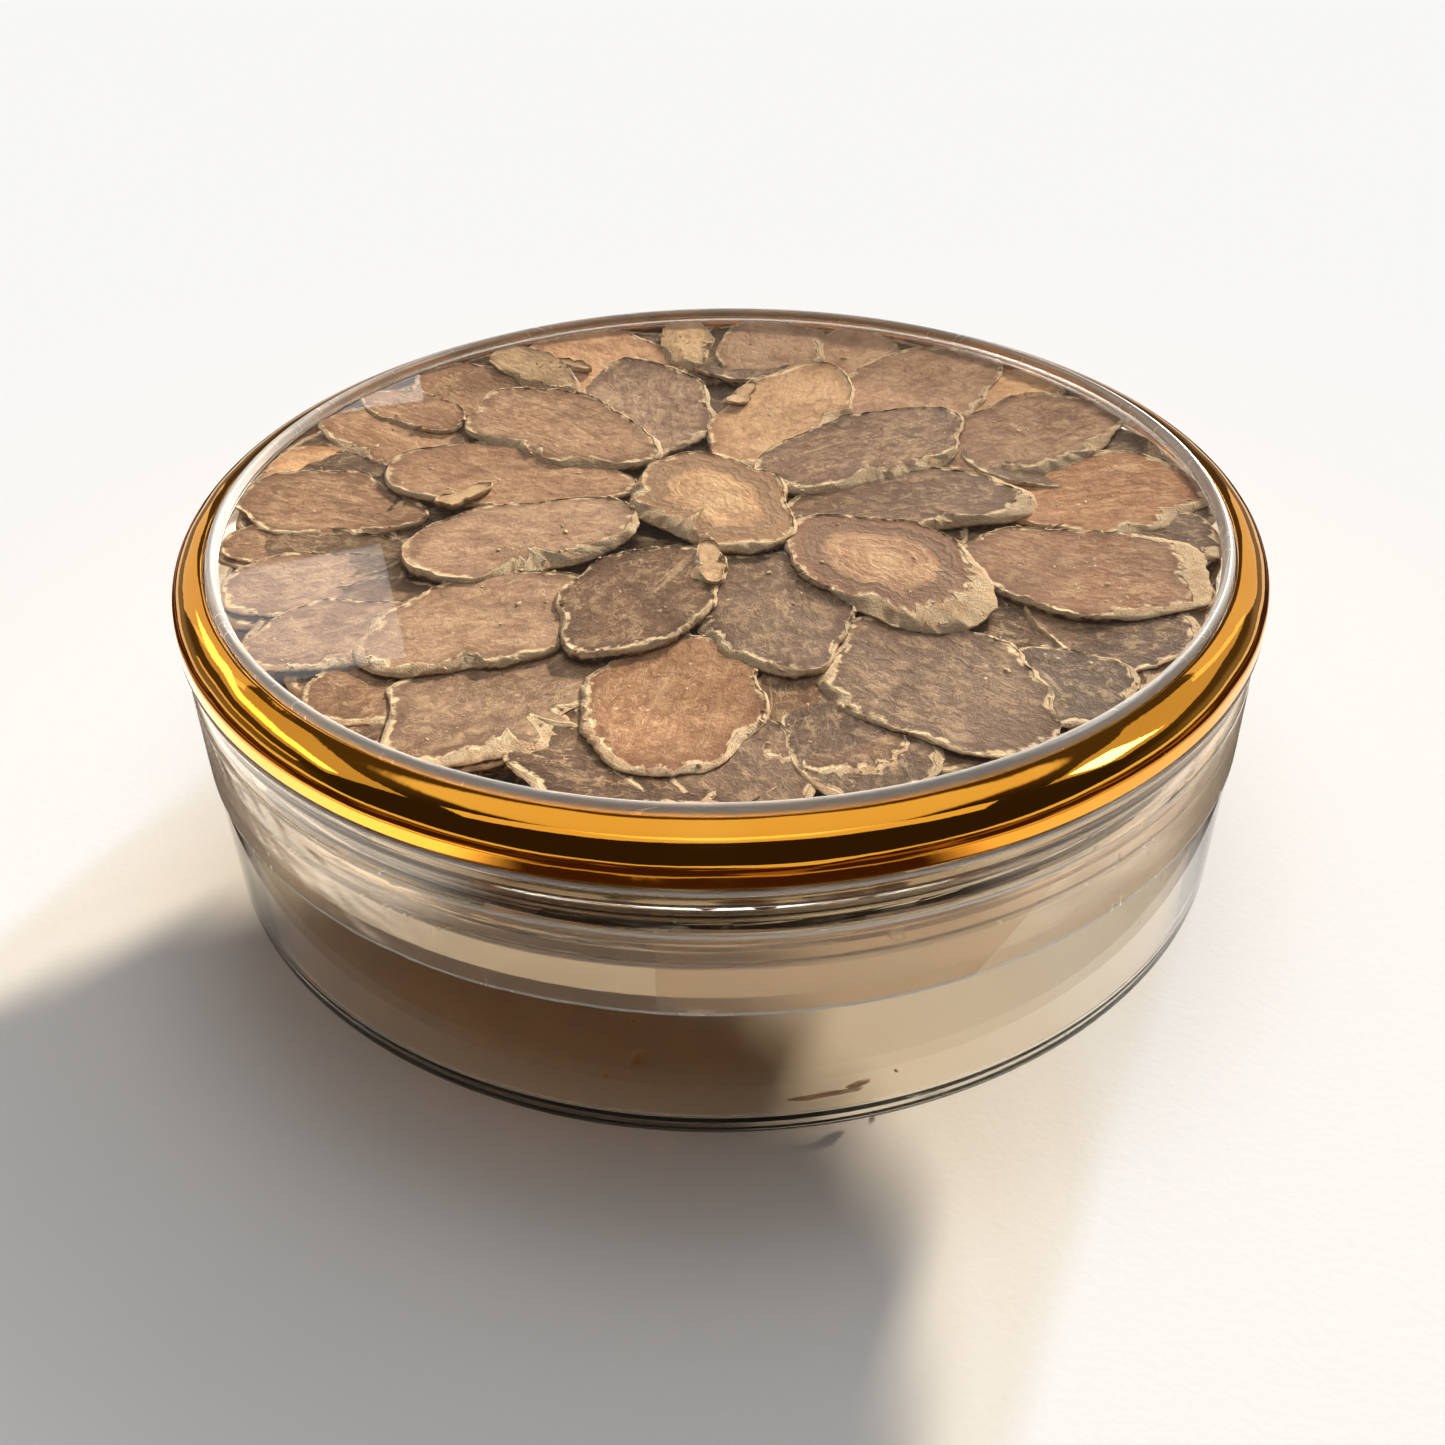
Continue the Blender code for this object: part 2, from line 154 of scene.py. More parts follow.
def letLampsThrough(tree, shader, output, tint):
    # Lamps and bounced light pass straight through the clear wall, a little dimmer.
    path = addNode(tree, "LightPath").outputs
    passing = calc(tree, "MAXIMUM", path["Is Shadow Ray"], path["Is Diffuse Ray"])
    mixSurface(tree, output, passing, shader, addNode(tree, "BsdfTransparent", {"Color": tint}))


def outward(angle, far=1.0, z=0.0):
    return far * math.cos(angle), far * math.sin(angle), z


def addObject(name, data):
    made = bpy.data.objects.new(name, data)
    scene.collection.objects.link(made)
    return made


def addMesh(name, points, faces):
    mesh = bpy.data.meshes.new(name)
    mesh.from_pydata([tuple(p) for p in points], [], faces)
    return mesh, addObject(name, mesh)


def arc(centerR, centerZ, reachR, reachZ, start, stop, steps):
    points = []
    for i in range(steps + 1):
        angle = math.radians(start + (stop - start) * i / steps)
        points.append((centerR + reachR * math.cos(angle), centerZ + reachZ * math.sin(angle)))
    return points


def climb(r, fromZ, toZ, step):
    count = max(1, round(abs(toZ - fromZ) / step))
    return [(r, fromZ + (toZ - fromZ) * i / count) for i in range(count + 1)]


def soften(corners, radius, steps=3):
    # Rounds the sharp corners of a closed profile, apart from those on the axis.
    rounded = []
    for i, corner in enumerate(corners):
        here = Vector(corner)
        back, ahead = Vector(corners[i - 1]) - here, Vector(corners[(i + 1) % len(corners)]) - here
        straight = min(back.length, ahead.length) < 1e-8 or back.angle(ahead) > math.radians(140)
        if here.x < 1e-7 or straight:
            rounded.append(tuple(here))
            continue
        cut = min(radius, back.length * 0.4, ahead.length * 0.4)
        start, stop = here + back.normalized() * cut, here + ahead.normalized() * cut
        for k in range(steps + 1):
            t = k / steps
            rounded.append(tuple(start * (1 - t) ** 2 + here * 2 * t * (1 - t) + stop * t * t))
    return rounded


def brace(profile):
    # Rows close to both ends of each long side, so that it stays flat right up to its corners.
    braced = []
    for i, corner in enumerate(profile):
        here, ahead = Vector(corner), Vector(profile[(i + 1) % len(profile)])
        braced.append(corner)
        side = ahead - here
        if side.length > 1.2 * mm and max(here.x, ahead.x) > 1e-7:
            near = side.normalized() * 0.2 * mm
            braced += [tuple(here + near), tuple(ahead - near)] if here.x > 1e-7 and ahead.x > 1e-7 else []
    return braced


def spun(profile, around, warp=None):
    # Points and faces of a closed (radius, height) profile turned about the Z axis.
    profile = brace(profile)
    points, rings = [], []
    for r, z in profile:
        if r < 1e-7:
            rings.append([len(points)])
            points.append((0.0, 0.0, z))
            continue
        ring = []
        for s in range(around):
            angle = 2 * math.pi * s / around
            newR, newZ = warp(r, z, angle) if warp else (r, z)
            ring.append(len(points))
            points.append(outward(angle, newR, newZ))
        rings.append(ring)
    faces = []
    for near, far in zip(rings, rings[1:] + rings[:1]):
        if len(near) == 1 and len(far) == 1:
            continue
        for s in range(around):
            t = (s + 1) % around
            if len(near) == 1:
                faces.append((near[0], far[t], far[s]))
            elif len(far) == 1:
                faces.append((near[s], near[t], far[0]))
            else:
                faces.append((near[s], near[t], far[t], far[s]))
    return points, faces


def addPiece(name, points, faces, material, body, nodes, slot, sharp=35, edging=()):
    mesh, piece = addMesh(name, points, faces)
    editable = bmesh.new()
    editable.from_mesh(mesh)
    bmesh.ops.recalc_face_normals(editable, faces=editable.faces)
    editable.to_mesh(mesh)
    editable.free()
    mesh.shade_smooth()
    mesh.set_sharp_from_angle(angle=math.radians(sharp))
    mesh.materials.append(material)
    for index, (other, test) in enumerate(edging, 1):
        # Another material on the faces that the test picks by their middle's radius and height.
        mesh.materials.append(other)
        for face in mesh.polygons:
            if test(math.hypot(face.center.x, face.center.y), face.center.z):
                face.material_index = index
    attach(piece, body)
    if nodes:
        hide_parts(*nodes)
    return piece


def addAttribute(piece, name, kind, values):
    attribute = piece.data.attributes.new(name, kind, "POINT")
    key = {"FLOAT": "value", "FLOAT_VECTOR": "vector", "FLOAT_COLOR": "color"}[kind]
    attribute.data.foreach_set(key, np.asarray(values, np.float32).ravel())


def addScuffs(tree, place, smooth, worn):
    # Hairline scratches and cloudy wear: a varying roughness and a height.
    lines = 0.0
    for turn, stretch in ((25, (40, 1800, 300)), (100, (30, 1500, 260)), (160, (55, 2100, 340))):
        fine = cloudAt(tree, stretched(tree, place, stretch, turn), 1.0, 1.0)
        lines = calc(tree, "MAXIMUM", lines, spread(tree, fine, 0.70, 0.76))
    cloud = cloudAt(tree, place, 90.0, 4.0)
    marks = times(tree, spread(tree, cloud, 0.42, 0.72), lines)
    marks = calc(tree, "MULTIPLY_ADD", spread(tree, cloud, 0.35, 0.8), 0.12, marks)
    return calc(tree, "MULTIPLY_ADD", marks, worn, smooth), times(tree, marks, -1.0)


# The first three multiply what lies under them, and the others are mixed in; the third is painted shade, for
# the slices' undersides and the sides of the stack.
rootTones = dict(
    darker=(0.50, 0.44, 0.40, 1), ringBand=(0.34, 0.33, 0.33, 1), paintedShadeTone=(0.30, 0.24, 0.20, 1),
    lighter=(0.90, 0.64, 0.38, 1), streak=(0.86, 0.62, 0.38, 1), pith=(0.82, 0.56, 0.32, 1),
    # the torn edge's pale tone is partly a painted highlight
    tornEdgeHighlight=(0.90, 0.68, 0.42, 1), starch=(0.86, 0.68, 0.46, 1), skin=(0.84, 0.57, 0.35, 1),
    skinPale=(1.0, 0.79, 0.53, 1), skinGrey=(0.60, 0.46, 0.34, 1), skinPit=(0.34, 0.21, 0.125, 1),
)
# what each slice's points carry, and the output that gives it; the last is painted shade
rootFields = dict(place="Vector", tone="Color", skin="Fac", rim="Fac", rings="Fac", paintedShade="Fac")


def makeRootMaterial(name, crumbly):
    # Dried root: a leathery cut face with a darker margin, and a pale crumbly skin, darkened underneath by
    # painted shade.
    material, tree, shader, _ = newMaterial(name)
    place, tone, skinShare, rim, rings, paintedShade = (
        addNode(tree, "Attribute", attribute_name=label).outputs[kind]
        for label, kind in rootFields.items())

    def cloud(scale, detail, stretch, rough, distortion=0.0):
        return cloudAt(
            tree, stretched(tree, place, stretch), scale, detail, Roughness=rough, Distortion=distortion)

    def layer(base, field, low, high, most, over):
        return mixColor(tree, spread(tree, field, low, high, 0.0, most), base, over)

    def shaken(field, size, base):
        return calc(tree, "MULTIPLY_ADD", calc(tree, "SUBTRACT", field, 0.5), size, base)

    patches = cloud(0.13, 3, (0.8, 1, 1), 0.6, 0.8)
    mottle = cloud(0.55, 6, (0.8, 1, 1), 0.62, 0.4)
    fibres = cloud(0.42, 4, (0.20, 1.5, 1), 0.62, 0.9)
    grit = cloud(3.2, 5, (1, 1, 1), 0.72)
    ridge = calc(tree, "ABSOLUTE", calc(tree, "SUBTRACT", cloud(0.30, 5, (0.6, 1, 1), 0.6), 0.5))

    # cut face
    dark = mixColor(tree, 1.0, tone, rootTones["darker"], "MULTIPLY")
    light = mixColor(tree, 0.62, tone, rootTones["lighter"])
    face = layer(tone, patches, 0.56, 0.36, 0.6, dark)
    face = layer(face, mottle, 0.50, 0.64, 0.5, light)
    face = layer(face, mottle, 0.50, 0.36, 0.6, dark)
    streaks = times(tree, spread(tree, fibres, 0.60, 0.70), spread(tree, patches, 0.42, 0.60, 0.15, 1.0))
    face = mixColor(tree, times(tree, streaks, 0.6), face, rootTones["streak"])
    face = layer(face, fibres, 0.42, 0.32, 0.15, dark)
    face = layer(face, grit, 0.48, 0.36, 0.45, dark)
    face = layer(face, grit, 0.54, 0.66, 0.35, light)
    veined = times(tree, spread(tree, ridge, 0.013, 0.004), spread(tree, patches, 0.40, 0.60, 0.1, 0.8))
    face = mixColor(tree, veined, face, light)

    # growth rings, uneven along the root
    wobble = shaken(mottle, 0.22, rim)
    ringed = spread(tree, calc(tree, "SINE", times(tree, wobble, 40.0)), 0.1, 0.95)
    ringed = times(tree, ringed, rings)
    face = mixColor(tree, times(tree, ringed, 0.28), face, light)
    pith = times(tree, spread(tree, wobble, 0.34, 0.06), rings)
    face = mixColor(tree, times(tree, pith, 0.6), face, rootTones["pith"])
    band = times(tree, spread(tree, wobble, 0.58, 0.68), spread(tree, rings, 0.5, 0.9))
    deepest = mixColor(tree, 1.0, tone, rootTones["ringBand"], "MULTIPLY")
    face = mixColor(tree, times(tree, band, 0.9), face, deepest)

    # margin just inside the edge, then the bright torn edge itself, a pale line that is partly a painted
    # highlight
    margin = times(tree, spread(tree, wobble, 0.78, 0.95), spread(tree, patches, 0.66, 0.36, 0.2, 0.9))
    face = mixColor(tree, margin, face, dark)
    tornEdgeHighlight = times(tree, spread(tree, wobble, 0.955, 0.99), spread(tree, mottle, 0.44, 0.56))
    face = mixColor(tree, times(tree, tornEdgeHighlight, 0.9), face, rootTones["tornEdgeHighlight"])

    # starch specks
    cells = addNode(tree, "TexVoronoi", {"Vector": place, "Scale": 0.42})
    near = spread(tree, cells.outputs["Distance"], 0.15, 0.06)
    specks = times(tree, near, spread(tree, patches, 0.46, 0.60))
    face = mixColor(tree, times(tree, specks, 0.75), face, rootTones["starch"])

    # skin, where enough of it is left
    skin = layer(rootTones["skin"], mottle, 0.40, 0.56, 1.0, rootTones["skinPale"])
    skin = layer(skin, patches, 0.47, 0.36, 0.5, rootTones["skinGrey"])
    skin = layer(skin, grit, 0.45, 0.35, 0.75, rootTones["skinPit"])
    skin = mixColor(tree, 0.06, skin, tone)
    left = shaken(patches, 0.6, shaken(mottle, 1.1, skinShare))
    color = layer(face, left, 0.50, 0.72, 1.0, skin)
    # Painted shade: the colour darkens where the slice's points carry it.
    deep = mixColor(tree, 1.0, color, rootTones["paintedShadeTone"], "MULTIPLY")
    color = mixColor(tree, paintedShade, color, deep)

    rough = spread(tree, grit, 0.3, 0.7, 0.46, 0.70, False)
    rough = calc(tree, "MULTIPLY_ADD", skinShare, 0.18, rough)
    height = calc(tree, "MULTIPLY_ADD", fibres, 0.25, mottle)
    height = calc(tree, "MULTIPLY_ADD", grit, calc(tree, "MULTIPLY_ADD", skinShare, 1.4, 0.30), height)
    height = calc(tree, "MULTIPLY_ADD", ringed, 0.12, height)
    feed(tree, shader.inputs, {
        "Base Color": color, "Roughness": rough, "Specular IOR Level": 0.22,
        "Normal": bumped(tree, height, 0.9, crumbly)})
    return material


def makeClear(name, color, smooth, worn, ior, tint, ripple, weight=1.0):
    material, tree, shader, output = newMaterial(name)
    place = objectPlace(tree)
    rough, scored = addScuffs(tree, place, smooth, worn)
    height = calc(tree, "MULTIPLY_ADD", cloudAt(tree, place, 60.0, 2.0), ripple, times(tree, scored, 0.02))
    feed(tree, shader.inputs, {
        "Base Color": color, "Roughness": rough, "Transmission Weight": weight, "IOR": ior,
        "Normal": bumped(tree, height, 0.35, 0.0006)})
    letLampsThrough(tree, shader, output, tint)
    return material


# colour, roughness, wear, index, tint of the lamplight that passes, ripples and how clear it is
clearPlastic = makeClear(
    "clearPlastic", (0.985, 0.98, 0.965, 1), 0.012, 0.10, 1.49, (0.965, 0.955, 0.935, 1), 0.02)
cupPlastic = makeClear("cupPlastic", (0.99, 0.95, 0.885, 1), 0.012, 0.12, 1.49, (0.99, 0.978, 0.955, 1), 0.02)
# Milky plastic for edges, crests and tape rims: its whiteness is painted highlight lines.
paintedHighlightPlastic = makeClear(
    "paintedHighlightPlastic", (0.93, 0.915, 0.89, 1), 0.24, 0.2, 1.49, (0.93, 0.92, 0.90, 1), 0.3, 0.55)
trayPlastic = makeClear(
    "trayPlastic", (0.985, 0.955, 0.90, 1), 0.04, 0.16, 1.46, (0.98, 0.968, 0.945, 1), 0.5)
sealRubber = makeClear("sealRubber", (0.93, 0.88, 0.80, 1), 0.12, 0.2, 1.41, (0.90, 0.88, 0.82, 1), 0.5)
tapeFilm = makeClear("tapeFilm", (0.97, 0.88, 0.77, 1), 0.12, 0.25, 1.47, (0.98, 0.96, 0.925, 1), 1.2, 0.90)


def makeGold():
    material, tree, shader, _ = newMaterial("goldPlating")
    place = objectPlace(tree)
    rough, _ = addScuffs(tree, place, 0.045, 0.10)
    pitted = times(tree, cloudAt(tree, place, 420.0, 2.0), 0.10)
    swell = cloudAt(tree, place, 55.0, 1.0)
    height = calc(tree, "MULTIPLY_ADD", swell, 5.0, pitted)
    share = spread(tree, swell, 0.35, 0.65)
    feed(tree, shader.inputs, {
        "Base Color": mixColor(tree, share, (0.84, 0.36, 0.035, 1), (0.88, 0.41, 0.050, 1)),
        "Metallic": 1.0, "Roughness": rough, "Normal": bumped(tree, height, 0.25, 0.0005)})
    return material


goldPlating = makeGold()
rootFlesh = makeRootMaterial("rootFlesh", 0.00035)
rootCrumb = makeRootMaterial("rootCrumb", 0.0002)
print("materials made")


# The thread is a swelling of the neck's outside and of the skirt's inside.
thread = dict(
    turns=0.9, fade=0.06, laps=3, lidStart=0.32,
    **inMm(lead=3.0, crest=0.4, flank=0.35, depth=1.1, step=0.14, margin=0.3),
)


def threadRise(z, angle, start, firstTurn):
    best = 0.0
    for lap in range(thread["laps"]):
        turn = angle / (2 * math.pi) + lap
        along = turn - firstTurn
        if not 0 <= along <= thread["turns"]:
            continue
        away = abs(z - start - thread["lead"] * turn)
        flank = (thread["crest"] / 2 + thread["flank"] - away) / thread["flank"]
        ends = min(along, thread["turns"] - along) / thread["fade"]
        best = max(best, min(1.0, max(0.0, flank)) * min(1.0, ends))
    return thread["depth"] * best * best * (3 - 2 * best)


jar = dict(around=384, **inMm(
    wall=1.8, floor=1.3, draft=0.5, foot=14.0, recess=0.5, footRound=1.3, innerRound=1.2, corner=0.35,
    neckHeight=5.1, neckWall=1.8, neckInset=3.0, slope=4.0, slopeDrop=1.5, wobble=0.05,
))
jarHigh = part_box("jar_body")[1]
jarRadius = jarHigh.x
mouthHeight = jarHigh.z
shoulderHeight = mouthHeight - jar["neckHeight"]
neckOuter = jarRadius - jar["neckInset"]
neckInner = neckOuter - jar["neckWall"]
floorTop = jar["recess"] + jar["floor"]


def makeJar():
    footOuter = jarRadius - jar["draft"]
    recessR = footOuter - jar["footRound"] - jar["foot"]
    wallInner = jarRadius - jar["wall"]
    slopeTop = shoulderHeight - jar["slopeDrop"]
    profile = [(0.0, jar["recess"]), (recessR - jar["recess"], jar["recess"]), (recessR, 0.0)]
    foot, inside, margin = jar["footRound"], jar["innerRound"], thread["margin"]
    profile += arc(footOuter - foot, foot, foot, foot, -90, 0, 6)
    profile += [(jarRadius, shoulderHeight), (neckOuter, shoulderHeight)]
    profile += climb(neckOuter, shoulderHeight + margin, mouthHeight - margin, thread["step"])
    profile += [(neckOuter, mouthHeight), (neckInner, mouthHeight), (neckInner, slopeTop)]
    profile += [(wallInner, slopeTop - jar["slope"])]
    inner = footOuter - jar["wall"] - inside
    profile += arc(inner, floorTop + inside, inside, inside, 0, -90, 6)
    profile += [(inner * 0.6, floorTop), (0.0, floorTop)]
    profile = soften(profile, jar["corner"])

    def warp(r, z, angle):
        if abs(r - neckOuter) < 1e-6 and z > shoulderHeight + 0.2 * mm:
            return r + threadRise(z, angle, shoulderHeight + thread["lead"] / 2, 0.0), z
        if 3 * mm < z < shoulderHeight - 2 * mm and r < wallInner + 0.2 * mm:
            swing = Vector(outward(angle, 2.2, z * 60))
            return r + jar["wobble"] * noise.noise(swing), z
        return r, z

    def edge(r, z):
        # the shoulder's outer corner and the thread's crest, in the milky plastic as painted highlight lines
        crest = z > shoulderHeight + 0.1 * mm and r > neckOuter + 0.7 * thread["depth"]
        return crest or (r > jarRadius - 0.5 * mm and z > shoulderHeight - 0.35 * mm)

    built = spun(profile, jar["around"], warp)
    edging = [(paintedHighlightPlastic, edge)]
    addPiece("jar_cup", *built, cupPlastic, "jar", ["jar_body"], "clear_plastic", edging=edging)


makeJar()

tray = dict(around=256, **inMm(wall=0.8, fit=0.4, bend=1.2, corner=0.25, ripple=0.06))
trayLow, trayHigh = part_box("slice_tray")
trayOuter = neckInner - tray["fit"]
trayInner = trayOuter - tray["wall"]


def makeTray():
    low, rim, wall, bend = trayLow.z, trayHigh.z - tray["wall"], tray["wall"], tray["bend"]
    profile = [(0.0, low), (trayOuter * 0.5, low)]
    profile += arc(trayOuter - bend, low + bend, bend, bend, -90, 0, 5)
    profile += [(trayOuter, rim), (trayHigh.x, rim), (trayHigh.x, trayHigh.z), (trayInner, trayHigh.z)]
    profile += arc(trayOuter - bend, low + bend, bend - wall, bend - wall, 0, -90, 4)
    profile += [(trayOuter * 0.5, low + wall), (0.0, low + wall)]
    profile = soften(profile, tray["corner"])

    def warp(r, z, angle):
        swing = tray["ripple"] * noise.noise(Vector(outward(angle, 4, r * 90)))
        return r, z + (swing if r < trayInner - 4 * mm else 0.0)

    built = spun(profile, tray["around"], warp)
    addPiece("hung_tray", *built, trayPlastic, "jar", ["slice_tray"], "clear_plastic")


makeTray()

sealLow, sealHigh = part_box("mouth_seal")
seal = dict(around=256, **inMm(width=2.8, corner=0.25))
sealInner = sealHigh.x - seal["width"]
washer = [(sealInner, sealLow.z), (sealHigh.x, sealLow.z), (sealHigh.x, sealHigh.z), (sealInner, sealHigh.z)]
washer = soften(washer, seal["corner"])
addPiece("washer", *spun(washer, seal["around"]), sealRubber, "seal", ["mouth_seal"], "clear_seal")
print("jar, tray and washer made")

lid = dict(around=384, **inMm(
    skirtInset=0.6, skirtWall=1.4, step=1.2, stepGap=0.3, window=1.2, beadWidth=1.5, beadHeight=1.2,
    lip=0.7, ringGap=0.3, corner=0.22,
))
gold = dict(around=384, **inMm(breadth=4.7, crown=4.4, wall=1.2, corner=0.3))
lidLow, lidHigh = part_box("lid_shell")
ringLow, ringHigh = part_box("gold_ring")
skirtOuter = lidHigh.x - lid["skirtInset"]
skirtInner = skirtOuter - lid["skirtWall"]
crownR, crownZ = ringHigh.x - gold["breadth"], ringHigh.z - gold["crown"]
windowTop = lidHigh.z - lid["beadHeight"]
windowBottom = windowTop - lid["window"]


def makeLid():
    gap, margin = lid["ringGap"], thread["margin"]
    outerR, outerZ = gold["breadth"] - gold["wall"] - gap, gold["crown"] - gold["wall"] - gap
    upperInner = skirtInner - lid["step"]
    stepZ = sealHigh.z + lid["stepGap"]
    lipTop, lipBottom = ringLow.z - gap, ringLow.z - gap - lid["lip"]
    beadOuter = crownR - gap
    beadInner = beadOuter - lid["beadWidth"]
    seamZ = lidLow.z
    profile = [(0.0, windowBottom), (beadInner * 0.7, windowBottom), (beadInner, windowBottom)]
    profile += arc(crownR, crownZ, upperInner - crownR, outerZ - lid["window"], 90, 0, 8)
    profile += [(upperInner, stepZ), (skirtInner, stepZ)]
    profile += climb(skirtInner, stepZ - margin, seamZ + margin, thread["step"])
    profile += [(skirtInner, seamZ), (skirtOuter, seamZ), (skirtOuter, lipBottom)]
    nose = lid["lip"] / 2
    profile += arc(lidHigh.x - nose, lipBottom + nose, nose, nose, -90, 90, 8) + [(crownR + outerR, lipTop)]
    profile += arc(crownR, crownZ, outerR, outerZ, 0, 90, 10)
    profile += [(beadOuter, crownZ + outerZ)]
    beadMiddle = (beadInner + beadOuter) / 2
    profile += arc(beadMiddle, windowTop, lid["beadWidth"] / 2, lid["beadHeight"], 0, 180, 14)
    profile += [(beadInner * 0.7, windowTop), (0.0, windowTop)]
    profile = soften(profile, lid["corner"])

    def warp(r, z, angle):
        if abs(r - skirtInner) < 1e-6 and z < stepZ - 0.2 * mm:
            return r - threadRise(z, angle, shoulderHeight, thread["lidStart"]), z
        return r, z

    def edge(r, z):
        # the raised bead, the lip's nose and the skirt's lower corner, in the milky plastic as painted
        # highlight lines
        bead = beadInner - 0.05 * mm < r < beadOuter + 0.05 * mm and z > windowTop + 0.02 * mm
        onNose = r > skirtOuter + 0.1 * mm
        return bead or onNose or (r > skirtOuter - 0.3 * mm and z < seamZ + 0.3 * mm)

    built = spun(profile, lid["around"], warp)
    edging = [(cupPlastic, lambda r, z: z < crownZ), (paintedHighlightPlastic, edge)]
    addPiece("lid_clear", *built, clearPlastic, "lid", ["lid_shell"], "clear_plastic", edging=edging)


def makeGoldRing():
    profile = [(ringHigh.x, ringLow.z)]
    profile += arc(crownR, crownZ, gold["breadth"], gold["crown"], 0, 90, 26)
    profile += arc(crownR, crownZ, gold["breadth"] - gold["wall"], gold["crown"] - gold["wall"], 90, 0, 12)
    profile += [(crownR + gold["breadth"] - gold["wall"], ringLow.z)]
    profile = soften(profile, gold["corner"])
    built = spun(profile, gold["around"])
    addPiece("shoulder_ring", *built, goldPlating, "lid", ["gold_ring"], "gold_plating")


makeLid()
makeGoldRing()
print("lid and ring made")

# One lap of tape and an overlapping end cut on the slant, creased at one side. Angles are in degrees.
tape = dict(
    start=-96, overlap=28, slant=9, liftFrom=350, lift=12, creaseFrom=-160, creaseTo=-100, creaseFade=18,
    around=420, rows=30,
    **inMm(thickness=0.07, stand=0.10, layer=0.13, ragged=0.25, crease=0.22, ripple=0.03, room=0.05),
)


def makeTape():
    low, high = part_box("seal_tape")
    lowZ, highZ, limit = low.z, high.z, high.x + tape["room"]
    points, faces, columns = [], [], tape["around"]
    span = 360 + tape["overlap"]
    for i in range(columns + 1):
        share = i / columns
        for layer in (0, 1):
            for j in range(tape["rows"] + 1):
                up = j / tape["rows"]
                # The free end is cut on the slant.
                degrees = tape["start"] + share * (span + tape["slant"] * up)
                angle = math.radians(degrees)
                over = max(0.0, min(1.0, (share * span - tape["liftFrom"]) / tape["lift"]))
                r = jarRadius + tape["stand"] + over * tape["layer"]
                turned = (degrees + 180) % 360 - 180
                inside = min(turned - tape["creaseFrom"], tape["creaseTo"] - turned) / tape["creaseFade"]
                creased = max(0.0, min(1.0, inside))
                swing = Vector((turned * 0.35 + up * 2.5, up * 3.0, 5.0))
                fold = abs(noise.noise(swing)) ** 0.6
                small = noise.noise(Vector((degrees * 0.5, up * 5, 2.0))) * tape["ripple"]
                r += creased * tape["crease"] * (0.8 - fold) + small
                r = min(max(r, jarRadius + tape["room"]), limit - tape["thickness"])
                r += layer * tape["thickness"]
                frayed = noise.noise(Vector((degrees * 0.22, 9.0 * round(up), 1.0))) * tape["ragged"]
                frayed *= abs(2 * up - 1) ** 4
                z = min(max(lowZ + (highZ - lowZ) * up + frayed, lowZ), highZ)
                points.append(outward(angle, r, z))
    tall = tape["rows"] + 1

    def at(i, layer, j):
        return (i * 2 + layer) * tall + j

    for i in range(columns):
        for j in range(tape["rows"]):
            faces.append((at(i, 0, j), at(i, 0, j + 1), at(i + 1, 0, j + 1), at(i + 1, 0, j)))
            faces.append((at(i, 1, j), at(i + 1, 1, j), at(i + 1, 1, j + 1), at(i, 1, j + 1)))
        for j in (0, tape["rows"]):
            faces.append((at(i, 0, j), at(i + 1, 0, j), at(i + 1, 1, j), at(i, 1, j)))
    for i in (0, columns):
        for j in range(tape["rows"]):
            faces.append((at(i, 0, j), at(i, 1, j), at(i, 1, j + 1), at(i, 0, j + 1)))

    def edge(r, z):
        # the outermost row at each side, in the milky plastic as painted highlight lines
        return abs(z - (lowZ + highZ) / 2) > (highZ - lowZ) * (0.5 - 1.0 / tape["rows"])

    edging = [(paintedHighlightPlastic, edge)]
    addPiece("tape_band", points, faces, tapeFilm, "jar", ["seal_tape"], "clear_tape", edging=edging)


makeTape()
print("tape made")

hues = dict(
    rust=(1.0, 0.48, 0.22), deep=(1.0, 0.53, 0.28), plain=(1.0, 0.57, 0.33), grey=(1.0, 0.62, 0.40),
    warm=(1.0, 0.59, 0.31), orange=(1.0, 0.52, 0.27), pale=(1.0, 0.67, 0.38),
)
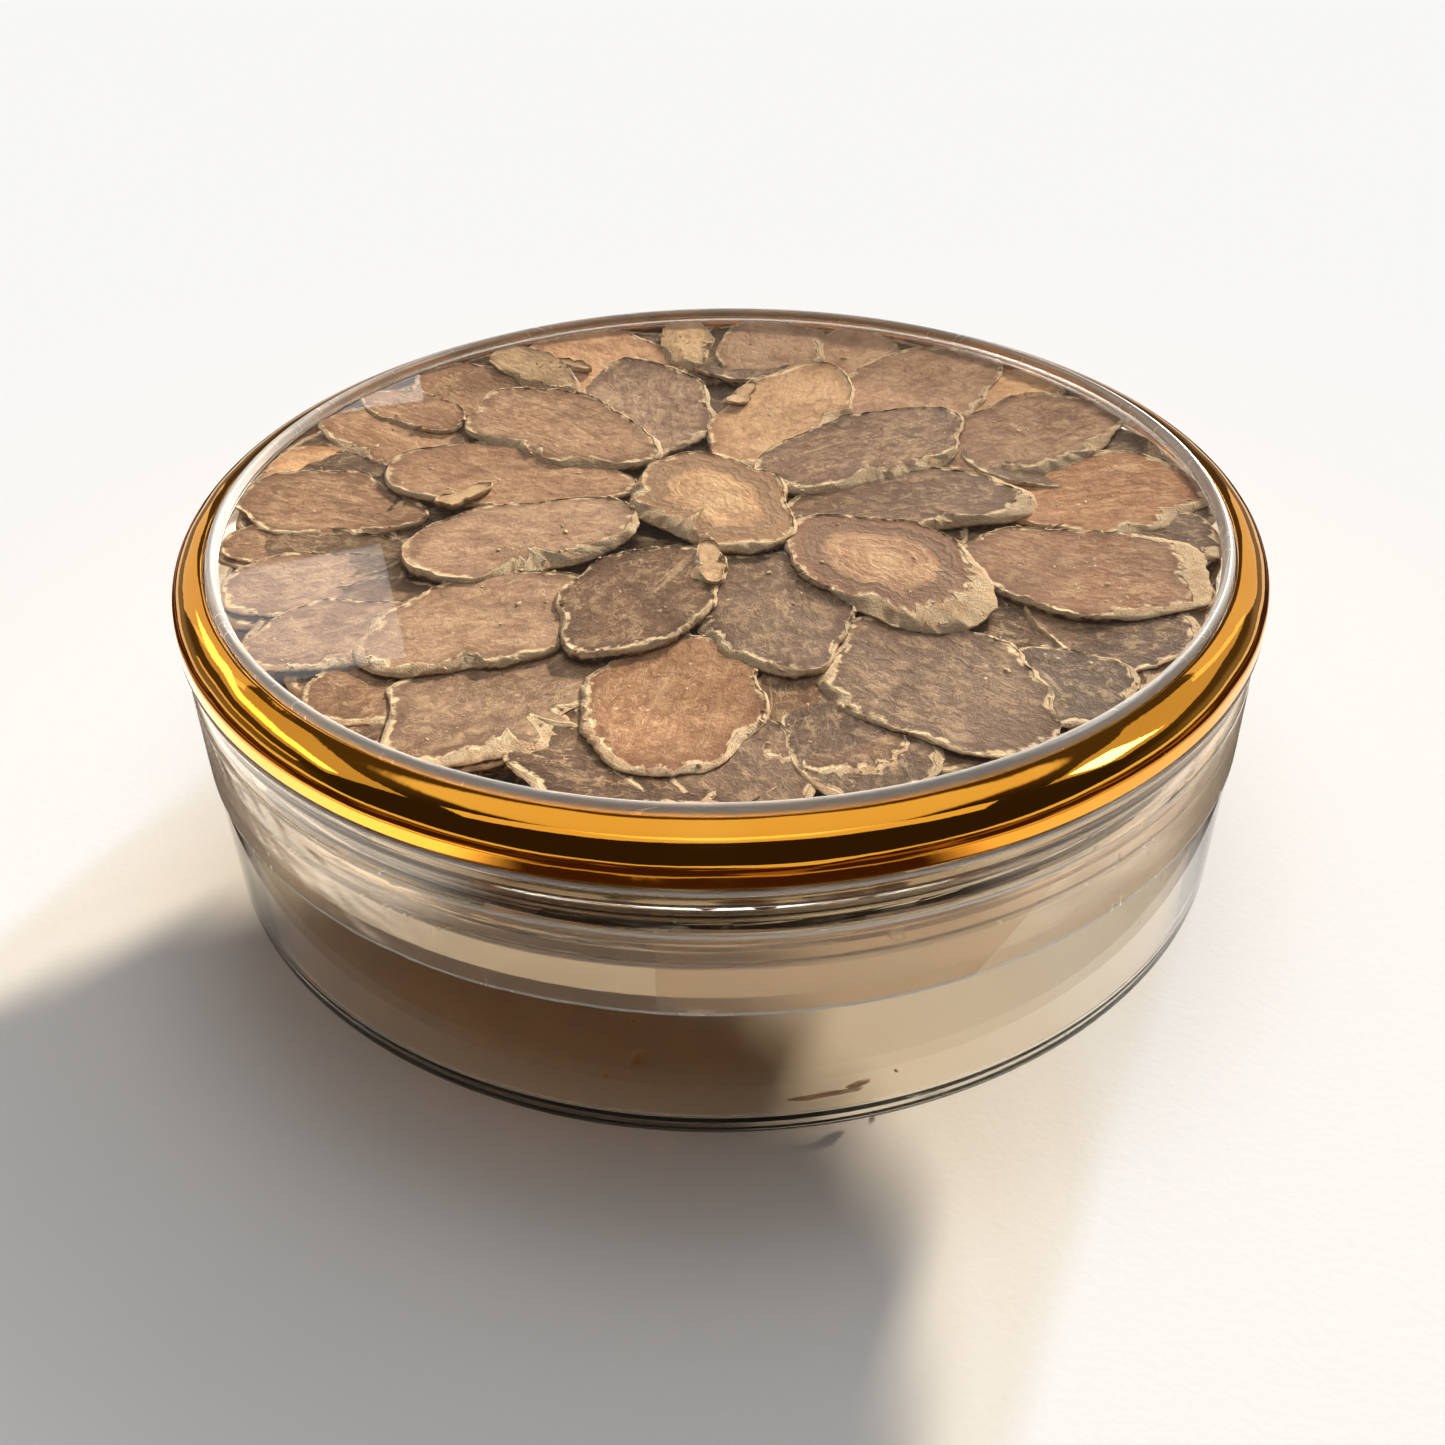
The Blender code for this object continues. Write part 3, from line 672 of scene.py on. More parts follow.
# hue, level, way the skin faces in degrees, share of the half width that is skin, rings; some levels carry
# painted light, raised on slices at the back against the ring's shadow
innerLooks = (
    ("deep", 0.19, 330, 0.16, 0.0), ("deep", 0.225, 275, 0.26, 0.0), ("warm", 0.71, 305, 0.27, 0.1),
    ("grey", 0.39, 330, 0.04, 0.0), ("plain", 0.48, 265, 0.20, 0.0), ("plain", 0.52, 250, 0.06, 0.0),
    ("grey", 0.58, 300, 0.26, 0.0), ("grey", 0.54, 235, 0.14, 0.15), ("deep", 0.2, 250, 0.05, 0.0),
    ("grey", 0.23, 215, 0.14, 0.1), ("plain", 0.62, 300, 0.36, 1.0),
)
outerLooks = (
    ("rust", 0.5, 300, 0.12, 0.0), ("deep", 0.37, 290, 0.18, 0.0), ("warm", 0.98, 300, 0.12, 0.2),
    ("plain", 0.51, 250, 0.06, 0.0), ("grey", 0.88, 270, 0.05, 0.0), ("grey", 0.7, 0, 0.08, 0.0),
    ("pale", 0.98, 270, 0.30, 0.0), ("plain", 0.95, 250, 0.08, 0.0), ("pale", 0.68, 280, 0.25, 0.0),
    ("plain", 0.48, 270, 0.08, 0.0), ("plain", 0.54, 240, 0.10, 0.0), ("plain", 0.6, 240, 0.20, 0.0),
    ("warm", 0.98, 200, 0.12, 0.0), ("plain", 0.42, 270, 0.05, 0.0), ("plain", 0.35, 270, 0.10, 0.0),
    ("grey", 0.46, 260, 0.10, 0.0), ("grey", 0.44, 270, 0.10, 0.0), ("plain", 0.34, 270, 0.10, 0.0),
    ("grey", 0.34, 320, 0.34, 0.0), ("deep", 0.12, 270, 0.08, 0.0), ("orange", 0.45, 255, 0.08, 0.0),
    ("deep", 0.205, 262, 0.16, 0.0), ("grey", 0.235, 190, 0.06, 0.0), ("grey", 0.12, 300, 0.08, 0.0),
    ("deep", 0.11, 20, 0.06, 0.0), ("rust", 0.32, 345, 0.16, 0.0), ("deep", 0.13, 300, 0.30, 0.0),
)
looks = {"slice_centre": ("warm", 0.76, 225, 0.28, 0.8)}
looks.update((f"slice_inner_{i:02d}", look) for i, look in enumerate(innerLooks, 1))
looks.update((f"slice_outer_{i:02d}", look) for i, look in enumerate(outerLooks, 1))
cut = dict(
    around=128, faceRings=14, grow=1.06, settle=0.46, flatten=0.42, baseSkin=0.042, gather=0.7,
    # beats round the outline, and how far each moves it
    corners=((3, 0.034), (4, 0.032), (5, 0.026), (6, 0.020), (7, 0.016), (9, 0.010), (13, 0.007)),
    nibble=0.022,
    # steps of the skin's band, then share of the reach, share of the thickness and painted shade of the
    # underside
    skinSteps=(0.12, 0.4, 0.7, 1.0),
    under=((1.004, 0.45, 0.35), (0.992, 0.8, 0.7), (0.96, 1.0, 0.9), (0.5, 1.0, 1.0)),
    **inMm(
        # relief and torn edge
        thickness=1.15, relief=0.045, waver=0.12, curl=0.24, lip=0.13, crumble=0.26,
        # room under the lid, and how the slices close up toward its rim
        roof=0.12, slopeFrom=68.2, slopeBreadth=2.1, slopeDrop=1.2, swell=0.5,
        reach=69.6, gatherFrom=48, gatherBreadth=20, gatherDepth=6,
    ),
)
heapTop = max(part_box(name)[1].z for name in looks)
sliceCeiling = windowBottom - cut["roof"] - 0.1 * mm


def lidLimit(far):
    # Height just under the lid's inner face, at this distance from the middle.
    slopeShare = min(1.0, max(0.0, (far - cut["slopeFrom"]) / cut["slopeBreadth"]))
    return windowBottom - cut["roof"] - slopeShare * cut["slopeDrop"]


def keepInside(points, reach, gather=0.0):
    for p in points:
        far = math.hypot(p.x, p.y)
        if far > reach:
            p.x, p.y = p.x * reach / far, p.y * reach / far
        far = min(far, reach)
        # All sag alike, and toward the rim all rise until they lie under the lid.
        sag = cut["swell"] * (0.4 + noise.noise(Vector((p.x, p.y, 0.0)) / mm * 0.05))
        t = min(1.0, max(0.0, (far - cut["gatherFrom"]) / cut["gatherBreadth"]))
        gap = lidLimit(far) - p.z
        if gather and gap < cut["gatherDepth"]:
            gap = max(0.0, gap + sag * (1 - t)) * (1 - gather * t * t * (3 - 2 * t))
        p.z = lidLimit(far) - max(0.0, gap)


def readNode(name):
    # Middle, and the edge's (angle, reach, height) sorted round it, of a packed slice.
    tops = {}
    for vertex in frame["nodes"][name].data.vertices:
        key = (round(vertex.co.x, 5), round(vertex.co.y, 5))
        tops[key] = max(tops.get(key, -1.0), vertex.co.z)
    mean = np.mean(list(tops), axis=0)
    middle = min(tops, key=lambda p: math.dist(p, mean))
    edge = []
    for (x, y), z in tops.items():
        if (x, y) != middle:
            edge.append((math.atan2(y - middle[1], x - middle[0]), math.dist((x, y), middle), z))
    return middle, tops[middle], sorted(edge)


def evenAngles(count):
    return np.linspace(-math.pi, math.pi, count, endpoint=False)


def evenRound(edge, column, count, passes):
    # Resamples one column of the edge at even angles, then rounds its corners a little.
    angles = np.array([e[0] for e in edge])
    values = np.array([e[column] for e in edge])
    want = evenAngles(count)
    got = np.interp(want, angles, values, period=2 * math.pi)
    for _ in range(passes):
        got = (np.roll(got, 1) + 2 * got + np.roll(got, -1)) / 4
    return want, got


def oval(angles, length, width):
    return 1 / np.sqrt((np.cos(angles) / (length / 2)) ** 2 + (np.sin(angles) / (width / 2)) ** 2)


def buildSlice(middle, middleZ, angles, reach, edgeZ, look, seed, faceRings, thickness, leastPaintedShade=0.0):
    # One thin slice. Returns its points, faces and attribute rows.
    hue, level, skinWay, skinShare, rings = look
    draw = random.Random(int(seed * 100))
    around = len(angles)
    middle, shift = Vector((*middle, 0.0)), Vector((seed * 7.31, seed * 3.17, seed * 1.9))
    longest = angles[int(np.argmax(reach + np.roll(reach, around // 2)))]
    points, rows, loops = [], [], []
    color = tuple(min(1.0, c * level) for c in hues[hue])
    uneven = np.ones(around)
    for beats, size in cut["corners"]:
        uneven += size * draw.uniform(0.5, 1.3) * np.cos(beats * angles + draw.uniform(0, 6.28))
    half = float(np.mean(reach))
    edges, bands, sides = [], [], []
    for i, a in enumerate(angles):
        way = Vector(outward(a))
        jag = noise.noise(way * 7 + shift) * 0.9 + noise.noise(way * 22 + shift) * 0.8
        edges.append(reach[i] * (uneven[i] + cut["nibble"] * jag))
        toward = max(0.0, math.cos(a - math.radians(skinWay)))
        patchy = 1 + 1.1 * noise.noise(way * 3 + shift) + 0.6 * noise.noise(way * 9 + shift)
        band = (cut["baseSkin"] + skinShare * toward ** 1.6) * max(0.25, patchy) * half / edges[-1]
        bands.append(min(0.6, band))
        sides.append(min(1.0, toward ** 1.6 * skinShare * 6))
    swing = 0.5 + noise.noise(shift + Vector((5, 1, 2)))
    wide = [min(1.0, band / 0.2) for band in bands]

    def put(i, share, drop, skin, rim, paintedShade, rise=1.0):
        far = edges[i] * share
        p = Vector(outward(angles[i], far))
        u = p.x * math.cos(longest) + p.y * math.sin(longest)
        v = p.y * math.cos(longest) - p.x * math.sin(longest)
        relief = noise.noise(p / mm * 0.085 + shift) * cut["waver"] * min(1.0, share * 1.5)
        fine = noise.noise(p / mm * 0.42 + shift) + 0.5 * noise.noise(p / mm * 1.1 + shift)
        relief += fine * cut["relief"] * rise
        away = math.cos(angles[i] - math.radians(skinWay + 180))
        relief += cut["curl"] * share ** 3 * (0.3 + 0.7 * away) * swing
        p += middle
        p.z = middleZ + (edgeZ[i] - middleZ) * share * share + relief - drop
        points.append(p)
        place = (u / mm + shift.x, v / mm + shift.y, p.z / mm + shift.z)
        rows.append((*place, *color, skin, rim, rings, max(paintedShade, leastPaintedShade)))
        return len(points) - 1

    top = put(0, 0.0, 0.0, 0.0, 0.0, 0.0)
    for k in range(1, faceRings + 1):
        s = k / faceRings
        loops.append([put(i, s * (1 - bands[i]), 0.0, 0.0, s, 0.0) for i in range(around)])
    for t in cut["skinSteps"]:
        loops.append([])
        for i in range(around):
            way = Vector(outward(angles[i]))
            rough = cut["crumble"] * noise.noise(way * 16 + shift + Vector((0, 0, t * 2.5)))
            lip = cut["lip"] * math.sin(math.pi * min(1.0, t * 1.2)) * (1 - wide[i])
            drop = thickness * (0.10 + 0.55 * wide[i]) * t ** 1.5 - lip - rough
            loops[-1].append(put(i, 1 - bands[i] * (1 - t), drop, 0.72 + 0.28 * wide[i], 1.0, 0.0, 0.0))
    # The side wall and the underside get painted shade, less where skin faces out, and the bottom point gets
    # the most.
    for share, down, paintedShade in cut["under"]:
        loops.append([])
        for i in range(around):
            drop = thickness * max(down, 0.65 * wide[i] + 0.35 * down)
            skin, dim = 0.25 + 0.75 * sides[i], paintedShade * (1 - 0.6 * sides[i])
            loops[-1].append(put(i, share, drop, skin, 0.97, dim, 0.0))
    bottom = put(0, 0.0, thickness, 0.5, 0.0, 1.0)
    faces = []
    for i in range(around):
        j = (i + 1) % around
        faces.append((top, loops[0][i], loops[0][j]))
        faces.append((bottom, loops[-1][j], loops[-1][i]))
        for near, far in zip(loops, loops[1:]):
            faces.append((near[i], far[i], far[j], near[j]))
    return points, faces, rows


def addSlices(name, built, material, nodes=(), slot="root_flesh"):
    points, faces, rows = [], [], []
    for morePoints, moreFaces, moreRows in built:
        start = len(points)
        points += morePoints
        rows += moreRows
        faces += [tuple(i + start for i in face) for face in moreFaces]
    piece = addPiece(name, points, faces, material, "jar", nodes, slot, 60)
    table = np.array(rows)
    addAttribute(piece, "place", "FLOAT_VECTOR", table[:, 0:3])
    addAttribute(piece, "tone", "FLOAT_COLOR", np.c_[table[:, 3:6], np.ones(len(table))])
    for column, label in ((6, "skin"), (7, "rim"), (8, "rings"), (9, "paintedShade")):
        addAttribute(piece, label, "FLOAT", table[:, column])


def makeSlices():
    for seed, (name, look) in enumerate(looks.items(), 1):
        middle, middleZ, edge = readNode(name)
        angles, reach = evenRound(edge, 1, cut["around"], 4)
        _, edgeZ = evenRound(edge, 2, cut["around"], 8)
        # The dried slices lie flatter, and closer under one another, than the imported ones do.
        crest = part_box(name)[1].z
        level = sliceCeiling - (heapTop - crest) * cut["settle"]
        edgeZ, middleZ = level - (crest - edgeZ) * cut["flatten"], level - (crest - middleZ) * cut["flatten"]
        reach = reach * cut["grow"]
        built = buildSlice(
            middle, middleZ, angles, reach, edgeZ, look, seed, cut["faceRings"], cut["thickness"])
        keepInside(built[0], cut["reach"], cut["gather"])
        slot = "pale_root" if name == "slice_centre" else "root_flesh"
        addSlices("root_" + name, [built], rootFlesh, [name], slot)


makeSlices()
print("rosette made")

# Lower slices, of which the edges show between and below the rosette.
bed = dict(
    seed=11, around=64, faceRings=6, lengths=(20, 30), widths=(15, 21), gather=0.62, gatherAbove=42,
    # reach, gap under and top of the slices in the tray, and of those above it
    **inMm(
        thickness=1.5, packedThickness=2.0, reach=68.2, gap=0.15, top=35.6,
        upperReach=69.5, upperGap=0.5, upperTop=44.1,
    ),
)
# number, height in mm, distance of the outer end in mm, lightest level, darkest level, least painted shade;
# the dark levels are the roots' tone with painted shade of the stack's side in them
bedTiers = (
    (32, 32.6, 68.0, 0.12, 0.06, 0.5), (30, 33.9, 68.0, 0.12, 0.06, 0.6), (34, 36.9, 69.4, 0.10, 0.06, 0.75),
    (34, 38.2, 69.4, 0.10, 0.05, 0.75), (32, 39.6, 69.4, 0.12, 0.06, 0.6), (32, 41.2, 69.4, 0.22, 0.11, 0.4),
    (34, 42.6, 69.4, 0.27, 0.13, 0.2), (24, 41.6, 52.0, 0.22, 0.12, 0.2), (16, 41.4, 36.0, 0.20, 0.12, 0.2),
    (8, 41.4, 20.0, 0.28, 0.16, 0.1),
)


def makeBed():
    draw = random.Random(bed["seed"])
    for name in sorted(n for n in frame["nodes"] if n.startswith("slice_bed")):
        middle, middleZ, edge = readNode(name)
        angles, reach = evenRound(edge, 1, bed["around"], 4)
        _, edgeZ = evenRound(edge, 2, bed["around"], 4)
        # dark levels: the packed slices' tone with painted shade in it
        look = ("plain", draw.uniform(0.06, 0.12), draw.uniform(200, 340), 0.08, 0.0)
        built = buildSlice(
            middle, middleZ, angles, reach, edgeZ, look, 60 + draw.random() * 50, bed["faceRings"],
            bed["packedThickness"])
        addSlices("root_" + name, [built], rootFlesh, [name])
    for tier, (count, height, end, most, least, leastPaintedShade) in enumerate(bedTiers):
        built = []
        for i in range(count):
            length, width = draw.uniform(*bed["lengths"]) * mm, draw.uniform(*bed["widths"]) * mm
            far = max(0.0, end * mm - length / 2 - draw.uniform(0, 1.2) * mm)
            way = 2 * math.pi * (i + draw.uniform(-0.3, 0.3)) / count
            turn = way + draw.uniform(-0.35, 0.35)
            z = (height + draw.uniform(-0.45, 0.45)) * mm
            angles = evenAngles(bed["around"])
            reach = oval(angles - turn, length, width)
            edgeZ = z + reach * np.cos(angles - way) * draw.uniform(-0.04, 0.08)
            look = (
                draw.choice(["plain", "grey", "warm"]), draw.uniform(least, most), math.degrees(way),
                draw.uniform(0, 0.1), 0.0)
            piece = buildSlice(
                outward(way, far)[:2], z, angles, reach, edgeZ, look,
                draw.uniform(1, 200), bed["faceRings"], bed["thickness"], leastPaintedShade)
            if height * mm < bed["top"]:
                reachMost, lowest, highest = bed["reach"], trayLow.z + tray["wall"] + bed["gap"], bed["top"]
            else:
                reachMost, lowest, highest = bed["upperReach"], trayHigh.z + bed["upperGap"], bed["upperTop"]
            keepInside(piece[0], reachMost, bed["gather"] if height > bed["gatherAbove"] else 0.0)
            for p in piece[0]:
                p.z = min(max(p.z, lowest), highest)
            built.append(piece)
        addSlices("lower_slices_" + str(tier + 1), built, rootFlesh)


makeBed()
print("lower slices made")

crumbs = dict(
    seed=5, sizes=(0.12, 0.42), dustSizes=(0.08, 0.26), onFloor=150, onTray=260, onSlices=1300,
    around=48, faceRings=5, **inMm(floorReach=69, trayReach=69.5, thickness=0.7),
    hues=(("plain", 0.45), ("pale", 0.75), ("plain", 0.35), ("orange", 0.4), ("pale", 0.6)),
    # scraps of skin: middle in mm, length, width, way in degrees, depth under the window
    scraps=(
        (-1.6, -15.5, 11.0, 4.2, 95, 0.5), (3.6, 39.0, 8.5, 3.6, 65, 0.9), (-37.5, 6.0, 9.0, 4.0, 35, 0.8),
        (-24.0, 52.0, 8.0, 2.6, 150, 0.7),
    ),
    # a flake, a splinter's two ends, two grains: place and size in mm, seed, level, flatness, stretch, turn
    front=(
        # the flake's pale level is partly a painted highlight
        (-10.9, -62.0, 0.25, 1.1, 701, 0.95, 0.18, 1.3, 0.2),
        (11.0, -68.6, 0.3, 0.42, 702, 1.0, 0.6, 13.0, 0.2), (15.5, -67.0, 0.3, 0.5, 703, 1.0, 0.5, 4.0, 0.45),
        (-15.0, -55.0, 0.3, 0.45, 704, 0.8, 0.6, 1.0, 0.0),
        (-12.0, -56.0, 0.3, 0.35, 705, 0.8, 0.6, 1.0, 0.0),
    ),
)


def grain(center, size, seed, tone, flat=0.6, stretch=1.0, way=0.0):
    hue, level = tone
    shape = bmesh.new()
    bmesh.ops.create_icosphere(shape, subdivisions=2 if size > 1.0 * mm else 1, radius=1.0)
    points, rows = [], []
    shift = Vector((seed * 3.3, seed * 1.7, seed))
    for vertex in shape.verts:
        p = vertex.co * (1 + 0.45 * noise.noise(vertex.co * 1.7 + shift))
        p = Vector((p.x * stretch, p.y, p.z * flat)) * size
        p.xy = p.x * math.cos(way) - p.y * math.sin(way), p.x * math.sin(way) + p.y * math.cos(way)
        points.append(Vector(center) + p)
        rows.append((*(p / mm + shift), *(c * level for c in hues[hue]), 0.8, 0.5, 0.0, 0.0))
    faces = [tuple(v.index for v in face.verts) for face in shape.faces]
    shape.free()
    return points, faces, rows


def makeCrumbs():
    draw = random.Random(crumbs["seed"])
    floor, rim, top = [], [], []
    choices = crumbs["hues"]
    for i in range(crumbs["onFloor"]):
        way, far = draw.uniform(0, 2 * math.pi), crumbs["floorReach"] * math.sqrt(draw.uniform(0.05, 1))
        size = draw.uniform(*crumbs["sizes"]) * mm * (0.6 if i % 3 else 1.0)
        place = outward(way, far, floorTop + size * 0.5)
        floor.append(grain(
            place, size, i, draw.choice(choices), stretch=draw.uniform(1, 1.8), way=draw.uniform(0, 3)))
    for i in range(crumbs["onTray"]):
        way = draw.uniform(0, 2 * math.pi)
        far = draw.uniform(trayInner + 0.1 * mm, crumbs["trayReach"])
        size = draw.uniform(*crumbs["sizes"]) * mm
        rim.append(grain(
            outward(way, far, trayHigh.z + size * 0.5), size, i + 300,
            draw.choice(choices), stretch=draw.uniform(1, 1.6), way=draw.uniform(0, 3)))
    # small grains lying on the rosette
    pieces = [o for o in scene.objects if o.name.startswith(("root_slice_inner", "root_slice_outer"))]
    for i in range(crumbs["onSlices"]):
        mesh = draw.choice(pieces).data
        # Three in four stick to the skin, the others lie about.
        first = cut["around"] * cut["faceRings"] if i % 4 else 0
        place = mesh.vertices[first + draw.randrange(cut["around"] * (3 if i % 4 else cut["faceRings"]))].co
        size = draw.uniform(*crumbs["dustSizes"]) * mm * (1.7 if i % 11 == 0 else 1.0)
        top.append(grain(
            (place.x, place.y, min(place.z, lidLimit(place.xy.length) - size)), size, i + 900,
            draw.choice(choices), stretch=draw.uniform(1, 2.2), way=draw.uniform(0, 3)))
    # torn scraps of skin between the slices
    for i, (x, y, length, width, way, drop) in enumerate(crumbs["scraps"]):
        angles = evenAngles(crumbs["around"])
        local = angles - math.radians(way)
        reach = oval(local, length, width) * mm
        reach *= 1 + 0.22 * np.cos(3 * local) + 0.12 * np.cos(5 * angles + i)
        look = ("pale", 0.8, way + 90, 0.9, 0.0)
        z = sliceCeiling - drop * mm
        built = buildSlice(
            (x * mm, y * mm), z, angles, reach, np.full(crumbs["around"], z), look, 231.3 + i * 7.7,
            crumbs["faceRings"], crumbs["thickness"])
        keepInside(built[0], cut["reach"])
        top.append(built)
    for x, y, z, size, seed, level, flat, stretch, way in crumbs["front"]:
        place = (x * mm, y * mm, floorTop + z * mm)
        floor.append(grain(place, size * mm, seed, ("pale", level), flat, stretch, way))
    addSlices("floor_crumbs", floor, rootCrumb)
    addSlices("tray_crumbs", rim, rootCrumb)
    addSlices("rosette_crumbs", top, rootCrumb)


makeCrumbs()
print("crumbs made")

studio = dict(
    floorColor=(0.82, 0.825, 0.84, 1), ceiling=0.97, wall=0.08, frontWall=0.03, horizon=0.24,
    wallColor=(1.0, 0.78, 0.60, 1), skyColor=(1.0, 0.99, 0.975, 1),
    # way and height in degrees, apparent width, share of white that it gives the floor, colour
    suns=((85, 66, 26, 0.11, (1.0, 0.995, 0.97)), (64, 17, 3, 0.84, (1.0, 0.95, 0.87))),
    floorHalf=4.0, farFloor=(0.93, 0.93, 0.925, 1), fade=(0.085, 0.26),
    # way and height in degrees, distance, width and height in metres, radiance, colour
    lamps=dict(
        lamp_front=(-90, 67, 0.9, 1.3, 0.20, 0.95, (1.0, 0.97, 0.93)),
        lamp_left_wide=(165, 38, 1.0, 0.85, 0.44, 0.6, (1.0, 0.92, 0.8)),
        lamp_right_wide=(14, 38, 1.0, 0.85, 0.44, 0.6, (1.0, 0.92, 0.8)),
        lamp_right=(-5, 38, 0.8, 0.16, 0.20, 16.0, (1.0, 0.95, 0.86)),
        lamp_left_strip=(160, 34, 0.9, 0.8, 0.10, 2.4, (1.0, 0.9, 0.75)),
        lamp_left_low=(170, 14, 0.9, 0.5, 0.05, 0.9, (1.0, 0.85, 0.7)),
        lamp_panel_left=(132, 26, 1.0, 0.34, 0.50, 0.8, (1.0, 0.95, 0.88)),
        lamp_panel_right=(47, 26, 1.0, 0.34, 0.50, 0.8, (1.0, 0.95, 0.88)),
        lamp_pane_1=(110.5, 33.2, 1.02, 0.12, 0.085, 1.4, (0.94, 0.97, 1.0)),
        lamp_pane_2=(106.4, 24.2, 1.07, 0.10, 0.035, 1.4, (0.94, 0.97, 1.0)),
    ),
)


def makeFloor():
    half, z = studio["floorHalf"], -0.0002  # just under the foot
    corners = [(-half, -half, z), (half, -half, z), (half, half, z), (-half, half, z)]
    mesh, floor = addMesh("floor", corners, [(0, 1, 2, 3)])
    material, tree, shader, output = newMaterial("floorPaper")
    place = objectPlace(tree)
    fibre, cloudy = cloudAt(tree, place, 900.0, 3.0), cloudAt(tree, place, 6.0, 2.0)
    pale = tuple(c * 0.985 for c in studio["floorColor"][:3]) + (1,)
    feed(tree, shader.inputs, {
        "Base Color": mixColor(tree, cloudy, studio["floorColor"], pale), "Roughness": 0.9,
        "Specular IOR Level": 0.1, "Normal": bumped(tree, fibre, 0.1, 0.0002)})
    # Away from the jar the paper glows a plain pale colour, and the jar keeps its shadow near it.
    path = addNode(tree, "LightPath").outputs
    seen = calc(tree, "MAXIMUM", path["Is Camera Ray"], path["Is Glossy Ray"])
    seen = calc(tree, "MAXIMUM", seen, path["Is Transmission Ray"])
    share = times(tree, seen, spread(tree, lengthOf(tree, place), *studio["fade"], 0.0, 0.85))
    glow = addNode(tree, "Emission", {"Color": studio["farFloor"], "Strength": 1.0})
    mixSurface(tree, output, share, shader, glow)
    mesh.materials.append(material)


# distances in metres from the middle; the colours are painted reflections of the floor
paintedReflectionRing = dict(
    inner=0.079, outer=0.55, z=0.003, around=96, dark=(0.05, 0.022, 0.016, 1), warm=(0.36, 0.20, 0.12, 1),
    near=(0.10, 0.065, 0.045, 1), nearFade=(0.118, 0.100), besideFrom=(0.091, 0.098), besideTo=(0.146, 0.126),
    # where each side's painted glare, a reflection of the sunlit floor, starts across the jar, and its colour
    paintedGlare=((-0.052, (2.2, 1.95, 1.65, 1)), (0.050, (1.35, 1.12, 0.90, 1))),
    lineFrom=(0.1225, 0.1240), lineTo=(0.1310, 0.1290), line=(0.62, 0.50, 0.38, 1),
)


def addPaintedReflectionRing():
    # A dark glowing ring on the floor, placed like a studio's black flag and seen in reflections and through
    # the plastic only: a painted reflection of the floor, shaded in front and sunlit at the sides.
    points, faces, around = [], [], paintedReflectionRing["around"]
    for i in range(around):
        angle = 2 * math.pi * i / around
        ragged = 0.8 + 0.5 * noise.noise(Vector(outward(angle, 2)))
        points += [outward(angle, r, paintedReflectionRing["z"]) for r in (paintedReflectionRing["inner"], paintedReflectionRing["outer"] * ragged)]
        j = (i + 1) % around
        faces.append((2 * i, 2 * i + 1, 2 * j + 1, 2 * j))
    mesh, card = addMesh("paintedReflectionRing", points, faces)
    material = bpy.data.materials.new("paintedReflectionRing")
    tree = emptyTree(material)
    place = objectPlace(tree)
    far = lengthOf(tree, place)
    # Painted shade in the reflected floor: mottled dark brown, and a dim brown nearest the jar.
    cloud = spread(tree, cloudAt(tree, place, 14.0, 2.0), 0.52, 0.62)
    color = mixColor(tree, cloud, paintedReflectionRing["dark"], paintedReflectionRing["warm"])
    color = mixColor(tree, spread(tree, far, *paintedReflectionRing["nearFade"]), color, paintedReflectionRing["near"])
    # Painted reflection of the sunlit floor: pale at the jar's left and right, where it shows in the skirt
    # and the tape.
    across = addNode(tree, "SeparateXYZ", {0: place}).outputs["X"]
    beside = times(tree, spread(tree, far, *paintedReflectionRing["besideFrom"]), spread(tree, far, *paintedReflectionRing["besideTo"]))
    for edge, paintedGlare in paintedReflectionRing["paintedGlare"]:
        side = spread(tree, across, edge, edge * 1.4)
        color = mixColor(tree, times(tree, side, beside), color, paintedGlare)
    # A narrow pale ring, a painted reflection, which the gold shows as a thin bright line near its lower
    # edge.
    line = times(tree, spread(tree, far, *paintedReflectionRing["lineFrom"]), spread(tree, far, *paintedReflectionRing["lineTo"]))
    color = mixColor(tree, line, color, paintedReflectionRing["line"])
    glow = addNode(tree, "Emission", {"Color": color, "Strength": 1.0})
    output = addNode(tree, "OutputMaterial")
    tree.links.new(glow.outputs[0], output.inputs["Surface"])
    mesh.materials.append(material)
    card.visible_camera = card.visible_diffuse = card.visible_shadow = False


def addLight(name, kind, way, up, far, color):
    # Aimed at the jar from a compass way and a height in degrees.
    way, up = math.radians(way), math.radians(up)
    place = Vector(outward(way, math.cos(up), math.sin(up)))
    lamp = bpy.data.lights.new(name, kind)
    lamp.color = color
    holder = addObject(name, lamp)
    holder.location = place * far
    holder.rotation_mode = "QUATERNION"
    holder.rotation_quaternion = place.to_track_quat("Z", "Y")
    return lamp, holder


def addLights():
    # Soft boxes that only reflections show, and suns that no reflection shows.
    for name, (way, up, far, width, height, radiance, color) in studio["lamps"].items():
        lamp, holder = addLight(name, "AREA", way, up, far, color)
        lamp.shape, lamp.size, lamp.size_y = "RECTANGLE", width, height
        lamp.energy = radiance * math.pi * width * height
        holder.visible_camera = holder.visible_transmission = holder.visible_diffuse = False
    for i, (way, up, angle, strong, color) in enumerate(studio["suns"]):
        lamp, holder = addLight("sun_" + str(i), "SUN", way, up, 0.0, color)
        lamp.angle = math.radians(angle)
        lamp.energy = strong * math.pi / math.sin(math.radians(up))
        holder.visible_glossy = False


